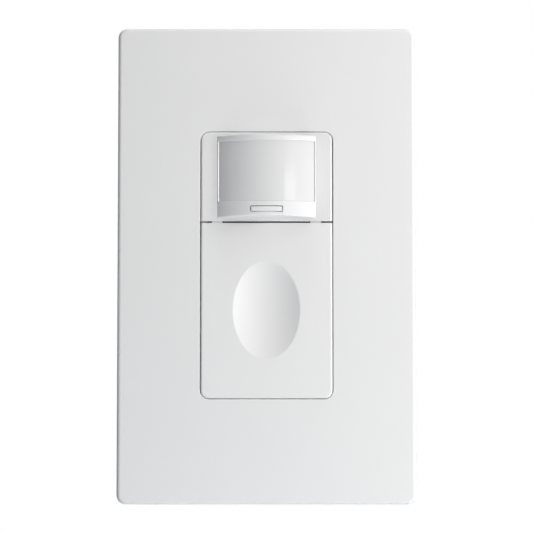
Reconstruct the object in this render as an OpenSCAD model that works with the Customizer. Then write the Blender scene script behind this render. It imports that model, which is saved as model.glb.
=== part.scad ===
// Motion sensor light switch: a decorator-style wall device behind a screwless cover plate.
// x runs to the right, y into the wall and z up. The wall is y = 0 and the front faces -y.
// The origin lies on the wall, midway between the two box screws.

/* [Cover plate] */
// Width of the cover plate
plate_w = 74.6; // [70:0.1:90]
// Height of the cover plate; strap, screws and window follow it
plate_h = 119.2; // [108:0.1:132]
// How far the cover plate reaches past each end of the strap
plate_border = 6.6; // [5.2:0.1:13]
// Depth of the cover plate, from the wall to its front face
plate_d = 6.8; // [6.6:0.1:9]
// Wall thickness of the cover plate
plate_wall = 1.9; // [1.4:0.1:2.2]
// Corner radius of the cover plate's outline
plate_corner_r = 2.3; // [1.5:0.1:6]
// Rounding of the cover plate's front edge
plate_edge_r = 1.1; // [0.3:0.1:1.4]
// Width of the window in the cover plate
window_w = 33.4; // [32:0.1:36]
// Corner radius of the window
window_corner_r = 2.3; // [1.2:0.1:4]
// Width of the notch for prying the cover off
pry_w = 8; // [5:0.5:14]
// Depth of that notch from the wall
pry_d = 1.6; // [1:0.1:2]

/* [Snap bracket] */
// Thickness of the bracket's plate and rim
bracket_t = 1.6; // [1.2:0.1:2]
// Gap between the bracket and the cover plate's inner walls
bracket_gap = 1.2; // [1:0.1:2]
// Gap between the bracket's window and the device
bracket_reveal = 0.8; // [0.4:0.1:2]
// Height of the collar round the bracket's window
collar_h = 0.9; // [0.4:0.1:1.2]
// Length of each snap ledge
snap_l = 11; // [6:0.5:16]
// Height of each snap ledge
snap_h = 1; // [0.7:0.1:1.2]
// How far a ledge on the cover reaches behind a ledge on the bracket
snap_bite = 0.6; // [0.3:0.1:0.9]
// Spacing of the three snaps on each side
snap_pitch = 36; // [24:1:42]

/* [Device face] */
// Gap between the window and the device's face
reveal = 0.35; // [0.2:0.05:0.6]
// How far the device's face stands proud of the cover plate
face_proud = 0.2; // [0:0.05:0.8]
// Wall thickness of the sensor panel and the button
face_wall = 1.6; // [1.3:0.1:2]
// Rounding of the face's front edge
face_edge_r = 0.5; // [0.2:0.05:0.8]
// Height of the gap between the sensor panel and the button
split_z = 10.8; // [9:0.1:12]
// Width of that gap
split_gap = 0.45; // [0.3:0.05:0.6]

/* [Sensor hood] */
// Width of the hood
hood_w = 24.5; // [22:0.1:26]
// How far the middle of the hood stands out from the face
hood_out = 6.4; // [6:0.1:9]
// Radius of the hood's curved front
hood_r = 24; // [22:0.5:34]
// Distance from the hood's top to the top edge of the face
hood_inset = 1.2; // [0.8:0.1:2.5]
// Height of the hood's foot above the lower edge of the panel
hood_foot = 0.2; // [0.1:0.1:1]
// Slope of the hood's underside, in degrees
hood_slope = 8.5; // [2:0.5:10]
// Wall thickness of the hood
hood_wall = 1.2; // [0.9:0.1:1.4]
// Thickness of the hood's roof
hood_roof = 0.8; // [0.6:0.1:0.9]
// Thickness of the hood's floor at its foot
hood_floor = 1.7; // [1.5:0.1:2]
// Height of the band above the lens
top_band = 1.4; // [1.2:0.1:2.5]
// Height of the band below the lens, from the hood's foot
low_band = 4.25; // [4:0.05:5.5]
// Thickness of the hood's rails beside the lens
side_rail = 0.4; // [0.3:0.05:0.7]

/* [Lens] */
// Depth of the lens below the hood's front
lens_inset = 0.25; // [0.1:0.05:0.5]
// Thickness of the lens
lens_t = 1.6; // [1.4:0.1:2]
// Height of the lens grooves
groove_h = 0.5; // [0.3:0.05:0.6]
// How far the lens reaches behind the bands
lens_lip = 0.5; // [0.3:0.05:0.55]
// Thickness of the retainer behind the lens
retainer_t = 1.2; // [0.9:0.1:1.5]
// Border of the retainer round its opening
retainer_rim = 1.5; // [1:0.1:2.5]

/* [Status window] */
// Width of the status window
status_w = 8.2; // [6:0.1:10]
// Height of the status window
status_h = 1.55; // [1.4:0.05:1.8]
// Height of the status window's middle above the hood's foot
status_up = 2.3; // [2.2:0.05:2.6]
// Gap round the front of the status window
status_gap = 0.15; // [0.05:0.05:0.3]
// Width of the light pipe behind the status window
pipe_w = 5; // [3:0.1:6]

/* [Button] */
// Width of the oval dish
dish_w = 16.8; // [12:0.1:20]
// Height of the oval dish
dish_h = 24.4; // [20:0.1:28]
// Depth of the dish
dish_depth = 1.5; // [0.8:0.05:1.7]
// Travel of the button about its hinge, in degrees
button_press = 1.2; // [0.6:0.1:1.4]
// Distance of the hinge tabs' middles from the frame's sides
hinge_tab_side = 2.5; // [2:0.05:3.5]
// Width of each hinge tab
hinge_tab_w = 2.7; // [2:0.1:2.8]
// Depth of the hinge tabs below the face
hinge_tab_inset = 0.9; // [0.7:0.05:1]
// Height of the hinge axis above the button's upper edge
hinge_up = 1.65; // [1.5:0.05:2]
// Depth of the hinge axis behind the face
hinge_back = 3; // [2.9:0.05:3.3]
// Radius of the hinge pins
hinge_pin_r = 0.8; // [0.6:0.05:0.9]
// Radius of the knuckle round each hinge pin
knuckle_r = 1.1; // [1:0.05:1.2]
// Wall thickness of the button's skirt
skirt_t = 1.2; // [0.8:0.1:1.6]
// Depth of the sensor panel's skirt
skirt_d = 2.7; // [2:0.1:3.5]
// Width of each hook that stops the button
hook_w = 4; // [3:0.1:6]
// Distance of the hooks from the middle
hook_x = 8; // [5:0.5:10]

/* [Front frame] */
// Wall thickness of the frame's sleeve
frame_wall = 1.5; // [1.2:0.1:1.7]
// Thickness of the control deck
deck_t = 1.4; // [1:0.1:1.6]
// Thickness of the flange behind the strap
flange_t = 2; // [1.6:0.1:3]

/* [Strap] */
// Thickness of the strap
strap_t = 1.3; // [1:0.1:1.5]
// Width of the strap's bars beside its window
strap_side = 4.8; // [4:0.1:7]
// Height of the strap's wide middle above and below its window
strap_rim = 3.45; // [3:0.05:5]
// Distance from the plate screws to the strap's ends
strap_end = 4.6; // [4:0.1:6]
// Width of the strap's upper and lower ends
strap_end_w = 24; // [20:0.5:30]
// Radius of the break-off ears
ear_r = 5.5; // [4:0.1:6]
// Distance of the ears from the middle
ear_x = 13.5; // [12:0.1:16]
// Length of the ground tab, behind the strap
tab_l = 9.5; // [9:0.5:12]
// Width of the ground tab
tab_w = 8; // [7.5:0.5:9]
// Distance of the ground tab from the strap's side
tab_side = 1; // [0.5:0.1:2]
// Inner radius of the ground tab's bend
tab_bend_r = 0.8; // [0.5:0.1:1.5]

/* [Screws] */
// Distance from the window's end to the box screw next to it
box_screw_up = 8.1; // [7.6:0.05:9]
// Distance from a box screw to the plate screw next to it
plate_screw_up = 6.75; // [6.2:0.05:8]
// Radius of the thread of box and plate screws
screw_r = 1.75; // [1.6:0.05:1.8]
// Radius of the box screws' plain necks
screw_neck_r = 1.55; // [1.4:0.05:1.6]
// Length of the box screws under the head
box_screw_l = 25.4; // [19:0.1:38]
// Length of the plate screws under the head
plate_screw_l = 9.5; // [6:0.1:14]
// Head radius of the box screws
box_head_r = 3.3; // [3:0.05:3.4]
// Head radius of the plate screws
plate_head_r = 2.7; // [2.4:0.05:2.8]
// Head height of box and plate screws
screw_head_h = 1.6; // [1.3:0.1:1.8]
// Size of the square retainers behind the strap
keeper_w = 9; // [7:0.5:10]
// Thickness of the square retainers
keeper_t = 0.4; // [0.2:0.05:0.45]

/* [Rear housing] */
// Width of the housing
body_w = 42; // [38:0.5:46]
// How far the housing reaches past the ends of the face
body_end = 1.3; // [1:0.1:2.4]
// Depth of the housing behind the flange
body_d = 27; // [25:0.5:40]
// Wall thickness of the housing
body_wall = 1.8; // [1.4:0.1:2.2]
// Corner radius of the housing's outline
body_corner_r = 3; // [1.5:0.1:6]
// Rounding of the housing's rear edge
body_edge_r = 1.2; // [0.4:0.1:1.4]
// Radius of the columns round the case screws
post_r = 2.2; // [2:0.1:2.4]
// Radius of the case screws
case_screw_r = 1; // [0.8:0.05:1.1]
// Head radius of the case screws
case_head_r = 1.9; // [1.6:0.1:2.1]
// Head height of the case screws
case_head_h = 1.3; // [1:0.1:1.5]
// Distance of the case screws from the housing's upper and lower ends
case_inset = 7.5; // [6:0.1:9]

/* [Terminals] */
// Height of each terminal pocket
pocket_h = 10.5; // [10:0.1:12]
// Length of each pocket, front to back
pocket_l = 10; // [9.5:0.1:10.5]
// Depth of each pocket
pocket_d = 4.6; // [4:0.1:5]
// Wall thickness round each pocket
pocket_wall = 1.4; // [1:0.1:1.6]
// Distance between the two terminals on one side
terminal_pitch = 22; // [20:0.5:24]
// Thickness of the terminal plates
terminal_t = 1; // [0.8:0.1:1.3]
// Width of the terminal plates' tails
tail_w = 4; // [2.5:0.1:6]
// Thread radius of terminal and ground screws
terminal_screw_r = 2; // [1.7:0.05:2.1]
// Head radius of terminal and ground screws
terminal_head_r = 3.8; // [3.4:0.1:4]
// Head height of terminal and ground screws
terminal_head_h = 2; // [1.6:0.1:2.4]
// Length of the terminal screws under the head
terminal_screw_l = 4.6; // [3.5:0.1:5]

/* [Controls] */
// Radius of the two dials
dial_r = 3.2; // [2.5:0.1:3.6]
// Distance of the dials' middles from the frame's sides
dial_side = 5.35; // [4.7:0.05:7]
// Height of the dials
dial_z = 3.2; // [2.5:0.1:4]
// How far the controls stand in front of the deck
control_out = 1.2; // [0.8:0.1:1.4]
// Radius of the dials' shafts
shaft_r = 1.5; // [1.2:0.05:1.8]
// Side of the dials' square bodies
trimmer_w = 8; // [7:0.1:9]
// Travel of the slider
slider_travel = 4; // [3:0.1:6]
// Height of the slider above the frame's lower wall
slider_up = 4.2; // [3.4:0.1:5.5]
// Width of the slider's lever
lever_w = 2.2; // [1.6:0.1:3]
// Radius of the plunger of the push switch
plunger_r = 1.7; // [1.3:0.05:2]
// Height of the plunger above the frame's lower wall
plunger_up = 12.2; // [10.8:0.1:15]
// Side of the push switch's body
switch_w = 6.2; // [6:0.1:7]
// Gap between the deck and the bodies of the controls
control_gap = 1.2; // [0.6:0.1:1.5]

/* [Electronics] */
// Thickness of the boards
board_t = 1.6; // [1:0.1:2]
// Height of the seats under the control board
board_standoff = 2.6; // [2.4:0.1:4]
// Height of the bosses under the power board
power_standoff = 3.6; // [2.6:0.1:4.5]
// Radius of the motion detector's can
pir_r = 4.1; // [3.6:0.1:4.6]
// Height of the motion detector's can
pir_h = 4.2; // [3.4:0.1:5]
// Height of the relay above its board
relay_h = 14; // [10:0.5:14.5]
// Length of the relay
relay_l = 20; // [15:0.5:21]
// Width of the relay
relay_w = 10; // [8:0.5:12]
// Height of the film capacitor
film_h = 12; // [8:0.5:13]
// Length of the film capacitor
film_l = 18; // [13:0.5:18]
// Thickness of the film capacitor
film_w = 7; // [5:0.5:8]
// Radius of the storage capacitor
storage_r = 5; // [4:0.1:5.2]
// Height of the storage capacitor
storage_h = 12; // [9:0.5:13]
// Number of pins between the boards
link_pins = 6; // [4:1:6]

/* [Clearances] */
// Clearance between fixed pieces that fit into each other
fit_gap = 0.05; // [0.03:0.01:0.15]
// Radial clearance of pins and shafts that turn or slide
pin_gap = 0.05; // [0.03:0.01:0.1]
// Clearance round pieces that move
run_gap = 0.35; // [0.25:0.05:0.4]

/* [Hidden] */
$fn = 64;

// Overshoot of cutters past the faces that they open
cut = 1;
// Colours
WHITE = [0.95, 0.95, 0.94];
LENS_WHITE = [0.97, 0.97, 0.97];
STEEL = [0.75, 0.75, 0.77];
BRASS = [0.83, 0.67, 0.32];
BOARD_GREEN = [0.11, 0.38, 0.2];
DARK = [0.12, 0.12, 0.13];

// Strap, plate screws, box screws and window, from the cover's ends inwards
strap_h = plate_h - 2 * plate_border;
plate_z = strap_h / 2 - strap_end;
box_z = plate_z - plate_screw_up;
window_h = 2 * (box_z - box_screw_up);

// Device face
face_w = window_w - 2 * reveal;
face_h = window_h - 2 * reveal;
face_corner_r = window_corner_r - reveal;
face_y = -(plate_d + face_proud);
face_back = face_y + face_wall;
panel_low = split_z + split_gap / 2;
button_top = split_z - split_gap / 2;
sleeve_half_w = face_w / 2 - frame_wall;
sleeve_half_h = face_h / 2 - frame_wall;
body_h = face_h + 2 * body_end;

// Hood and lens
hood_centre_y = face_y - hood_out + hood_r;
hood_low = panel_low + hood_foot;
hood_high = face_h / 2 - hood_inset;
chamber_low = hood_low + hood_floor;
chamber_high = hood_high - hood_roof;
chamber_half = hood_w / 2 - hood_wall;
lens_low = hood_low + low_band;
lens_high = hood_high - top_band;
lens_z = (lens_low + lens_high) / 2;
lens_r = hood_r - lens_inset;
lens_half = hood_w / 2 - side_rail - fit_gap;
lens_back_r = lens_r - lens_t;
lens_skin_r = lens_back_r + groove_h;
tooth_root = 0.2;
tooth_clear = 0.1;
lip_r = hood_r - hood_wall;
lip_half = chamber_half - fit_gap;
lip_low = lens_low - lens_lip;
lip_high = lens_high + lens_lip;
retainer_r = lens_back_r;
ear_half = sleeve_half_w - fit_gap - skirt_t - run_gap;
status_z = hood_low + status_up;
pipe_end_y = 1.2;

// Button and its hinge
deck_y = -deck_t;
hinge_y = face_y + hinge_back;
hinge_z = button_top + hinge_up;
hinge_tab_x = sleeve_half_w - hinge_tab_side;
button_drop = (hinge_z + face_h / 2) * sin(button_press);
skirt_half_w = sleeve_half_w - run_gap;
skirt_low = -sleeve_half_h + run_gap;
skirt_back = deck_y - button_drop - run_gap;
low_rim_y = face_back + button_drop + run_gap;
pin_bite = 1;
hook_h = 0.7;
hook_reach = 1.2;
barb_l = 5;
barb_reach = 0.5;
dish_z = (button_top - face_h / 2) / 2;
dish_rx = (dish_w * dish_w / 4 + dish_depth * dish_depth) / (2 * dish_depth);
dish_rz = (dish_h * dish_h / 4 + dish_depth * dish_depth) / (2 * dish_depth);

// Controls on the deck
deck_high = panel_low - frame_wall;
control_y = deck_y - control_out;
dial_x = sleeve_half_w - dial_side;
slider_z = slider_up - sleeve_half_h;
plunger_z = plunger_up - sleeve_half_h;
plunger_drop = (hinge_z - plunger_z) * sin(button_press);
plunger_collar = 0.7;
plunger_collar_r = plunger_r + plunger_collar;
plunger_collar_t = 0.5;
switch_lid = 0.5;
trimmer_floor = 0.6;
slider_half = slider_travel / 2 + lever_w / 2;
slider_wing = 1;
slider_lip = 0.4;
slider_lid = 0.8;
board_y = flange_t + board_standoff;
board_back = board_y + board_t;

// Strap
strap_window_w = face_w + 2 * run_gap;
strap_window_h = face_h + 2 * run_gap;
strap_w = strap_window_w + 2 * strap_side;
strap_mid_h = strap_window_h + 2 * strap_rim;
tab_x = strap_w / 2 - tab_w / 2 - tab_side;
slot_run = 2.6;
tab_drop = 1.5;
tab_edge = 0.4;
tab_low = -(strap_mid_h / 2 + tab_drop);
tab_hole_y = tab_l - terminal_head_r - tab_edge;

// Cover and bracket
cover_half_w = plate_w / 2 - plate_wall;
cover_half_h = plate_h / 2 - plate_wall;
cover_inner_r = max(0.4, plate_corner_r - plate_wall);
bracket_half_w = cover_half_w - bracket_gap;
bracket_half_h = cover_half_h - bracket_gap;
bracket_y = -(strap_t + bracket_t);
snap_reach = (bracket_gap + snap_bite) / 2;
snap_y = bracket_y + snap_h;

// Housing and boards
case_x = (strap_window_w + body_w) / 4;
case_z = body_h / 2 - case_inset;
housing_back = flange_t + body_d;
housing_floor = housing_back - body_wall;
case_seat_y = housing_back - case_head_h;
pocket_floor = body_w / 2 - pocket_d;
pocket_room = 0.6;
pocket_y = board_back + pocket_wall + pocket_room;
pocket_end = pocket_y + pocket_l;
terminal_y = pocket_y + pocket_l / 2;
TERMINALS = [[1, 1], [1, -1], [-1, 1]];
board_half_w = case_x - post_r - run_gap;
board_edge = 1.6;
board_half_h = body_h / 2 - body_wall - board_edge;
power_y = housing_floor - power_standoff - board_t;
power_half_w = body_w / 2 - body_wall - run_gap;
seat_w = 1.6;
seat_l = 8;
boss_r = 2.4;
boss_gap = 0.95;
board_screw_x = sleeve_half_w - boss_r - boss_gap;
board_screw_z = boss_r + fit_gap - sleeve_half_h;
board_screw_r = 0.9;
board_screw_head_h = 0.9;
board_screw_bite = 2.5;
link_pitch = 2.54;
part_gap = 1.3;
part_edge = 3.1;
link_at = [7, 2 * part_edge - board_half_h];
relay_at = [-3.5, board_half_h - part_edge - relay_l / 2];
film_at = [pocket_floor + terminal_t - terminal_screw_l - part_gap - film_w / 2, -8];
storage_at = [-5.5, -6];
varistor_at = [-6.5, -18];
fuse_at = [-7.5, part_edge - board_half_h];
lead_r = 0.4;

// A flat outline in x and z, made solid between two depths
module between_y(y0, y1) {
    translate([0, y1, 0])
        rotate([90, 0, 0])
            linear_extrude(y1 - y0)
                children();
}

// An outline in y and z, made solid between two places on x
module between_x(x0, x1) {
    translate([x0, 0, 0])
        rotate([90, 0, 90])
            linear_extrude(x1 - x0)
                children();
}

// An outline in x and y, made solid between two heights
module between_z(z0, z1) {
    translate([0, 0, z0])
        linear_extrude(z1 - z0)
            children();
}

module rod_y(r, y0, y1, x = 0, z = 0) {
    translate([x, y1, z])
        rotate([90, 0, 0])
            cylinder(r = r, h = y1 - y0);
}

module rod_x(r, x0, x1, y, z) {
    translate([x0, y, z])
        rotate([0, 90, 0])
            cylinder(r = r, h = x1 - x0);
}

// A box from its lowest to its highest corner
module block(low, high) {
    translate(low)
        cube(high - low);
}

module both_sides() {
    children();
    mirror([1, 0, 0])
        children();
}

module both_ends() {
    children();
    mirror([0, 0, 1])
        children();
}

// What lies outside a quarter circle, to round a corner with
module corner_waste(r) {
    difference() {
        square(2 * r);
        circle(r);
    }
}

function corner_sign(i) = [(i == 0 || i == 3) ? 1 : -1, i < 2 ? 1 : -1];

module round_rect(w, h, r) {
    difference() {
        square([w, h], center = true);
        for (i = [0:3])
            translate([corner_sign(i)[0] * (w / 2 - r), corner_sign(i)[1] * (h / 2 - r)])
                rotate(90 * i)
                    corner_waste(r);
    }
}

// Section of a border of a soft block: square, with its outer front corner rounded
module border_section(run, t, edge_r) {
    difference() {
        square([run, t]);
        translate([run - edge_r, t - edge_r])
            corner_waste(edge_r);
    }
}

// A plate with round corners and a rounded front edge, between two depths
module soft_block(w, h, r, edge_r, y0, y1) {
    translate([0, y1, 0])
        rotate([90, 0, 0]) {
            linear_extrude(y1 - y0)
                square([w - 2 * r, h - 2 * r], center = true);
            for (i = [0:3]) {
                along = i % 2 == 0 ? h : w;
                across = i % 2 == 0 ? w : h;
                rotate(90 * i)
                    translate([across / 2 - r, along / 2 - r, 0])
                        rotate([90, 0, 0])
                            linear_extrude(along - 2 * r)
                                border_section(r, y1 - y0, edge_r);
                translate([corner_sign(i)[0] * (w / 2 - r), corner_sign(i)[1] * (h / 2 - r), 0])
                    rotate(90 * i)
                        rotate_extrude(angle = 90)
                            border_section(r, y1 - y0, edge_r);
            }
        }
}

// A screw along z with a domed head and a cross recess, and where it is captive a thinner neck
module screw(r, length, head_r, head_h, neck_r = 0, neck_l = 0) {
    dome_r = 1.5 * head_r;
    recess_w = 0.3 * head_r;
    recess_d = 0.6 * head_h;
    root = 0.2 * head_h;
    difference() {
        rotate_extrude()
            intersection() {
                square([head_r, head_h]);
                translate([0, head_h - dome_r])
                    circle(dome_r);
            }
        for (a = [0, 90])
            rotate(a)
                translate([-0.55 * head_r, -recess_w / 2, head_h - recess_d])
                    cube([1.1 * head_r, recess_w, head_h]);
    }
    if (neck_l > 0)
        translate([0, 0, -neck_l - root])
            cylinder(r = neck_r, h = neck_l + 2 * root);
    translate([0, 0, -length])
        cylinder(r = r, h = length - (neck_l > 0 ? neck_l : -root));
}

// The whole face of the device, before it is parted into sensor panel and button
module face_blank() {
    soft_block(face_w, face_h, face_corner_r, face_edge_r, face_y, face_back);
}

// The ledges that snap together: a ramp outside the line x = at, seen along z
module snap_ramp(at, y_catch, y_foot, reach) {
    root = at - reach / 2;
    for (z = [-snap_pitch, 0, snap_pitch])
        between_z(z - snap_l / 2, z + snap_l / 2)
            polygon([[root, y_foot], [root, y_catch], [at + reach, y_catch], [at, y_foot]]);
}

module wall_plate() {
    inner_w = 2 * cover_half_w;
    inner_h = 2 * cover_half_h;
    color(WHITE) {
        difference() {
            soft_block(plate_w, plate_h, plate_corner_r, plate_edge_r, -plate_d, 0);
            between_y(plate_wall - plate_d, cut)
                round_rect(inner_w, inner_h, cover_inner_r);
            between_y(-plate_d - cut, cut)
                round_rect(window_w, window_h, window_corner_r);
            block([-pry_w / 2, -pry_d, -plate_h / 2 - cut], [pry_w / 2, cut, -cover_half_h + cut]);
        }
        both_sides()
            snap_ramp(cover_half_w, snap_y, snap_y + snap_h, -snap_reach);
    }
}

module plate_bracket() {
    rim_w = 2 * (bracket_half_w - bracket_t);
    rim_h = 2 * (bracket_half_h - bracket_t);
    opening_w = face_w + 2 * bracket_reveal;
    opening_h = face_h + 2 * bracket_reveal;
    opening_r = face_corner_r + bracket_reveal;
    collar = 2 * collar_h;
    color(WHITE) {
        difference() {
            union() {
                between_y(bracket_y, 0)
                    round_rect(2 * bracket_half_w, 2 * bracket_half_h, cover_inner_r);
                between_y(bracket_y - collar_h, bracket_y + bracket_t / 2)
                    round_rect(opening_w + collar, opening_h + collar, opening_r + collar_h);
            }
            between_y(-strap_t, cut)
                square([rim_w, rim_h], center = true);
            between_y(bracket_y - collar_h - cut, cut)
                round_rect(opening_w, opening_h, opening_r);
            both_ends() {
                rod_y(box_head_r + run_gap, bracket_y - cut, 0, 0, box_z);
                rod_y(screw_r + fit_gap, bracket_y - cut, 0, 0, plate_z);
            }
        }
        both_sides()
            snap_ramp(bracket_half_w, snap_y, bracket_y, snap_reach);
    }
}

module plate_screws() {
    color(STEEL)
        both_ends()
            translate([0, bracket_y, plate_z])
                rotate([90, 0, 0])
                    screw(screw_r, plate_screw_l, plate_head_r, screw_head_h);
}

module mounting_strap() {
    bend_out = tab_bend_r + strap_t;
    tab_left = -tab_x - tab_w / 2;
    color(STEEL)
        difference() {
            union() {
                between_y(-strap_t, 0)
                    strap_outline();
                between_x(tab_left, tab_left + tab_w) {
                    intersection() {
                        translate([tab_bend_r, tab_low])
                            difference() {
                                circle(bend_out);
                                circle(tab_bend_r);
                            }
                        translate([-strap_t, tab_low - bend_out])
                            square(bend_out);
                    }
                    translate([tab_bend_r, tab_low - bend_out])
                        square([tab_l - tab_bend_r, strap_t]);
                }
            }
            translate([-tab_x, tab_hole_y, tab_low - bend_out - cut])
                cylinder(r = terminal_screw_r + fit_gap, h = strap_t + 2 * cut);
        }
}

module strap_outline() {
    ear_z = strap_h / 2 - ear_r;
    break_w = 1;
    difference() {
        union() {
            round_rect(strap_w, strap_mid_h, body_corner_r);
            round_rect(strap_end_w, strap_h, body_corner_r);
            translate([-tab_x - tab_w / 2, tab_low])
                square([tab_w, strap_mid_h / 2]);
            for (sx = [-1, 1], sz = [-1, 1])
                translate([sx * ear_x, sz * ear_z])
                    circle(ear_r);
        }
        round_rect(strap_window_w, strap_window_h, face_corner_r + run_gap);
        for (sz = [-1, 1]) {
            translate([0, sz * box_z])
                slot(slot_run, screw_neck_r + run_gap);
            translate([0, sz * plate_z])
                circle(screw_r + fit_gap);
            for (sx = [-1, 1]) {
                translate([sx * (strap_end_w / 2 - break_w), sz * ear_z])
                    square([break_w, 1.2 * ear_r], center = true);
                translate([sx * case_x, sz * case_z])
                    circle(case_screw_r + fit_gap);
            }
        }
    }
}

module slot(run, r) {
    square([run, 2 * r], center = true);
    for (s = [-1, 1])
        translate([s * run / 2, 0])
            circle(r);
}

module box_screws() {
    neck_l = strap_t + keeper_t + fit_gap;
    color(STEEL)
        both_ends()
            translate([0, -strap_t, box_z])
                rotate([90, 0, 0])
                    screw(screw_r, box_screw_l, box_head_r, screw_head_h, screw_neck_r, neck_l);
}

module screw_retainers() {
    color([0.25, 0.23, 0.2])
        both_ends()
            between_y(0, keeper_t)
                translate([0, box_z])
                    difference() {
                        square(keeper_w, center = true);
                        circle(screw_neck_r + fit_gap);
                    }
}

module ground_screw() {
    seat_z = tab_low - tab_bend_r - strap_t;
    color([0.16, 0.5, 0.28])
        translate([-tab_x, tab_hole_y, seat_z])
            rotate([180, 0, 0])
                screw(terminal_screw_r, terminal_screw_l, terminal_head_r, terminal_head_h);
}

// The sleeve that carries the face: high round the sensor panel, low round the button
module frame_sleeve() {
    difference() {
        between_y(face_back, flange_t)
            round_rect(face_w, face_h, face_corner_r);
        between_y(face_back - cut, flange_t + cut)
            square([2 * sleeve_half_w, 2 * sleeve_half_h], center = true);
        block([-face_w, face_back - cut, -face_h], [face_w, low_rim_y, panel_low]);
    }
}

module front_frame() {
    root_w = sleeve_half_w + frame_wall / 2;
    root_h = sleeve_half_h + frame_wall / 2;
    baffle_t = 1.2;
    baffle_y = hinge_y + knuckle_r + run_gap;
    hook_y = skirt_back - hook_h;
    color(WHITE)
        difference() {
            union() {
                frame_sleeve();
                difference() {
                    between_y(0, flange_t)
                        round_rect(body_w, body_h, body_corner_r);
                    between_y(-cut, flange_t + cut)
                        square([2 * sleeve_half_w, 2 * sleeve_half_h], center = true);
                }
                block([-root_w, deck_y, -root_h], [root_w, 0, deck_high]);
                block([-root_w, baffle_y, deck_high - baffle_t], [root_w, 0, deck_high]);
                both_sides() {
                    both_ends()
                        block([board_half_w - seat_w, flange_t / 2, case_z - seat_l / 2],
                            [board_half_w, board_y, case_z + seat_l / 2]);
                    rod_y(boss_r, deck_y / 2, board_y, board_screw_x, board_screw_z);
                }
            }
            both_sides() {
                rod_x(hinge_pin_r + pin_gap, 0, sleeve_half_w + pin_bite, hinge_y, hinge_z);
                panel_barb(sleeve_half_w - fit_gap, fit_gap);
                block([hook_x - hook_w / 2 - run_gap, hook_y - fit_gap, -face_h / 2 - cut],
                    [hook_x + hook_w / 2 + run_gap, deck_y, -sleeve_half_h + cut]);
                rod_y(board_screw_r + fit_gap, board_y - board_screw_bite - fit_gap, board_y + cut,
                    board_screw_x, board_screw_z);
                both_ends()
                    rod_y(case_screw_r + fit_gap, -cut, flange_t + cut, case_x, case_z);
                rod_y(dial_r + run_gap, deck_y - cut, cut, dial_x, dial_z);
            }
            rod_y(plunger_r + run_gap, deck_y - cut, cut, 0, plunger_z);
            block([-slider_half - run_gap, deck_y - cut, slider_z - lever_w / 2 - run_gap],
                [slider_half + run_gap, cut, slider_z + lever_w / 2 + run_gap]);
        }
}

// Section of the hood seen from above: a curved front between straight sides
module hood_section(r, half_w, back_y) {
    intersection() {
        translate([0, hood_centre_y])
            circle(r);
        translate([-half_w, hood_centre_y - hood_r])
            square([2 * half_w, back_y - hood_centre_y + hood_r]);
    }
}

module hood_shell() {
    difference() {
        between_z(hood_low, hood_high)
            hood_section(hood_r, hood_w / 2, face_back);
        translate([0, face_y, hood_low])
            rotate([-hood_slope, 0, 0])
                block([-hood_w, -2 * hood_out, -hood_out], [hood_w, 0, 0]);
    }
}

// The wall behind the panel that plugs into the frame's sleeve on three sides
module panel_skirt() {
    outer_w = sleeve_half_w - fit_gap;
    outer_h = sleeve_half_h - fit_gap;
    root = face_wall / 2;
    difference() {
        block([-outer_w, face_back - root, lens_low], [outer_w, face_back + skirt_d, outer_h]);
        block([skirt_t - outer_w, face_back - cut, lens_low - cut],
            [outer_w - skirt_t, face_back + skirt_d + cut, outer_h - skirt_t]);
    }
    both_sides()
        panel_barb(outer_w, 0);
}

// A barb on the skirt's side, or with room the pocket for it in the frame
module panel_barb(at, room) {
    catch_y = face_back + skirt_d / 2;
    root = at - skirt_t / 2;
    tip = sleeve_half_w + barb_reach + room;
    between_z(lens_z - barb_l / 2 - room, lens_z + barb_l / 2 + room)
        polygon([[root, catch_y - room], [tip, catch_y - room], [tip, catch_y + room],
            [at, face_back + skirt_d + room], [root, face_back + skirt_d + room]]);
}

module sensor_panel() {
    tab_half = hinge_tab_w / 2 + run_gap;
    opening_half = hood_w / 2 - side_rail;
    front = face_y - 2 * hood_out;
    color(WHITE)
        difference() {
            union() {
                intersection() {
                    face_blank();
                    block([-face_w, face_y - cut, panel_low], [face_w, 0, face_h]);
                }
                hood_shell();
                panel_skirt();
            }
            between_z(chamber_low, chamber_high)
                hood_section(hood_r - hood_wall, chamber_half, face_back + cut);
            block([-opening_half, front, lens_low], [opening_half, face_y, lens_high]);
            block([-status_w / 2, front, status_z - status_h / 2],
                [status_w / 2, face_y, status_z + status_h / 2]);
            both_sides()
                block([hinge_tab_x - tab_half, face_y + hinge_tab_inset - run_gap / 2, panel_low - cut],
                    [hinge_tab_x + tab_half, 0, hinge_z]);
        }
}

function on_lens(r, a) = [r * sin(a), hood_centre_y - r * cos(a)];

// Saw teeth on the inner side of the lens, which lean away from its middle, and their root inside it
function tooth_points(teeth, half_angle) = [
    for (i = [0:teeth - 1], k = [0, 1])
        let (root = (i < teeth / 2) == (k == 0))
        on_lens(root ? lens_skin_r + tooth_root / 2 : lens_back_r + tooth_clear,
            half_angle * (2 * (i + k) / teeth - 1))
];

function root_points(teeth, half_angle) = [
    for (i = [teeth:-1:0])
        on_lens(lens_skin_r + tooth_root, half_angle * (2 * i / teeth - 1))
];

module lens_teeth(z0, z1, teeth) {
    half_angle = asin((lip_half - retainer_rim + tooth_root) / lens_r);
    between_z(z0, z1)
        polygon(concat(tooth_points(teeth, half_angle), root_points(teeth, half_angle)));
}

module ring_section(outer_r, inner_r, half_w) {
    translate([0, hood_centre_y])
        difference() {
            intersection() {
                circle(outer_r);
                translate([-half_w, -outer_r])
                    square([2 * half_w, outer_r / 2]);
            }
            circle(inner_r);
        }
}

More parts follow.
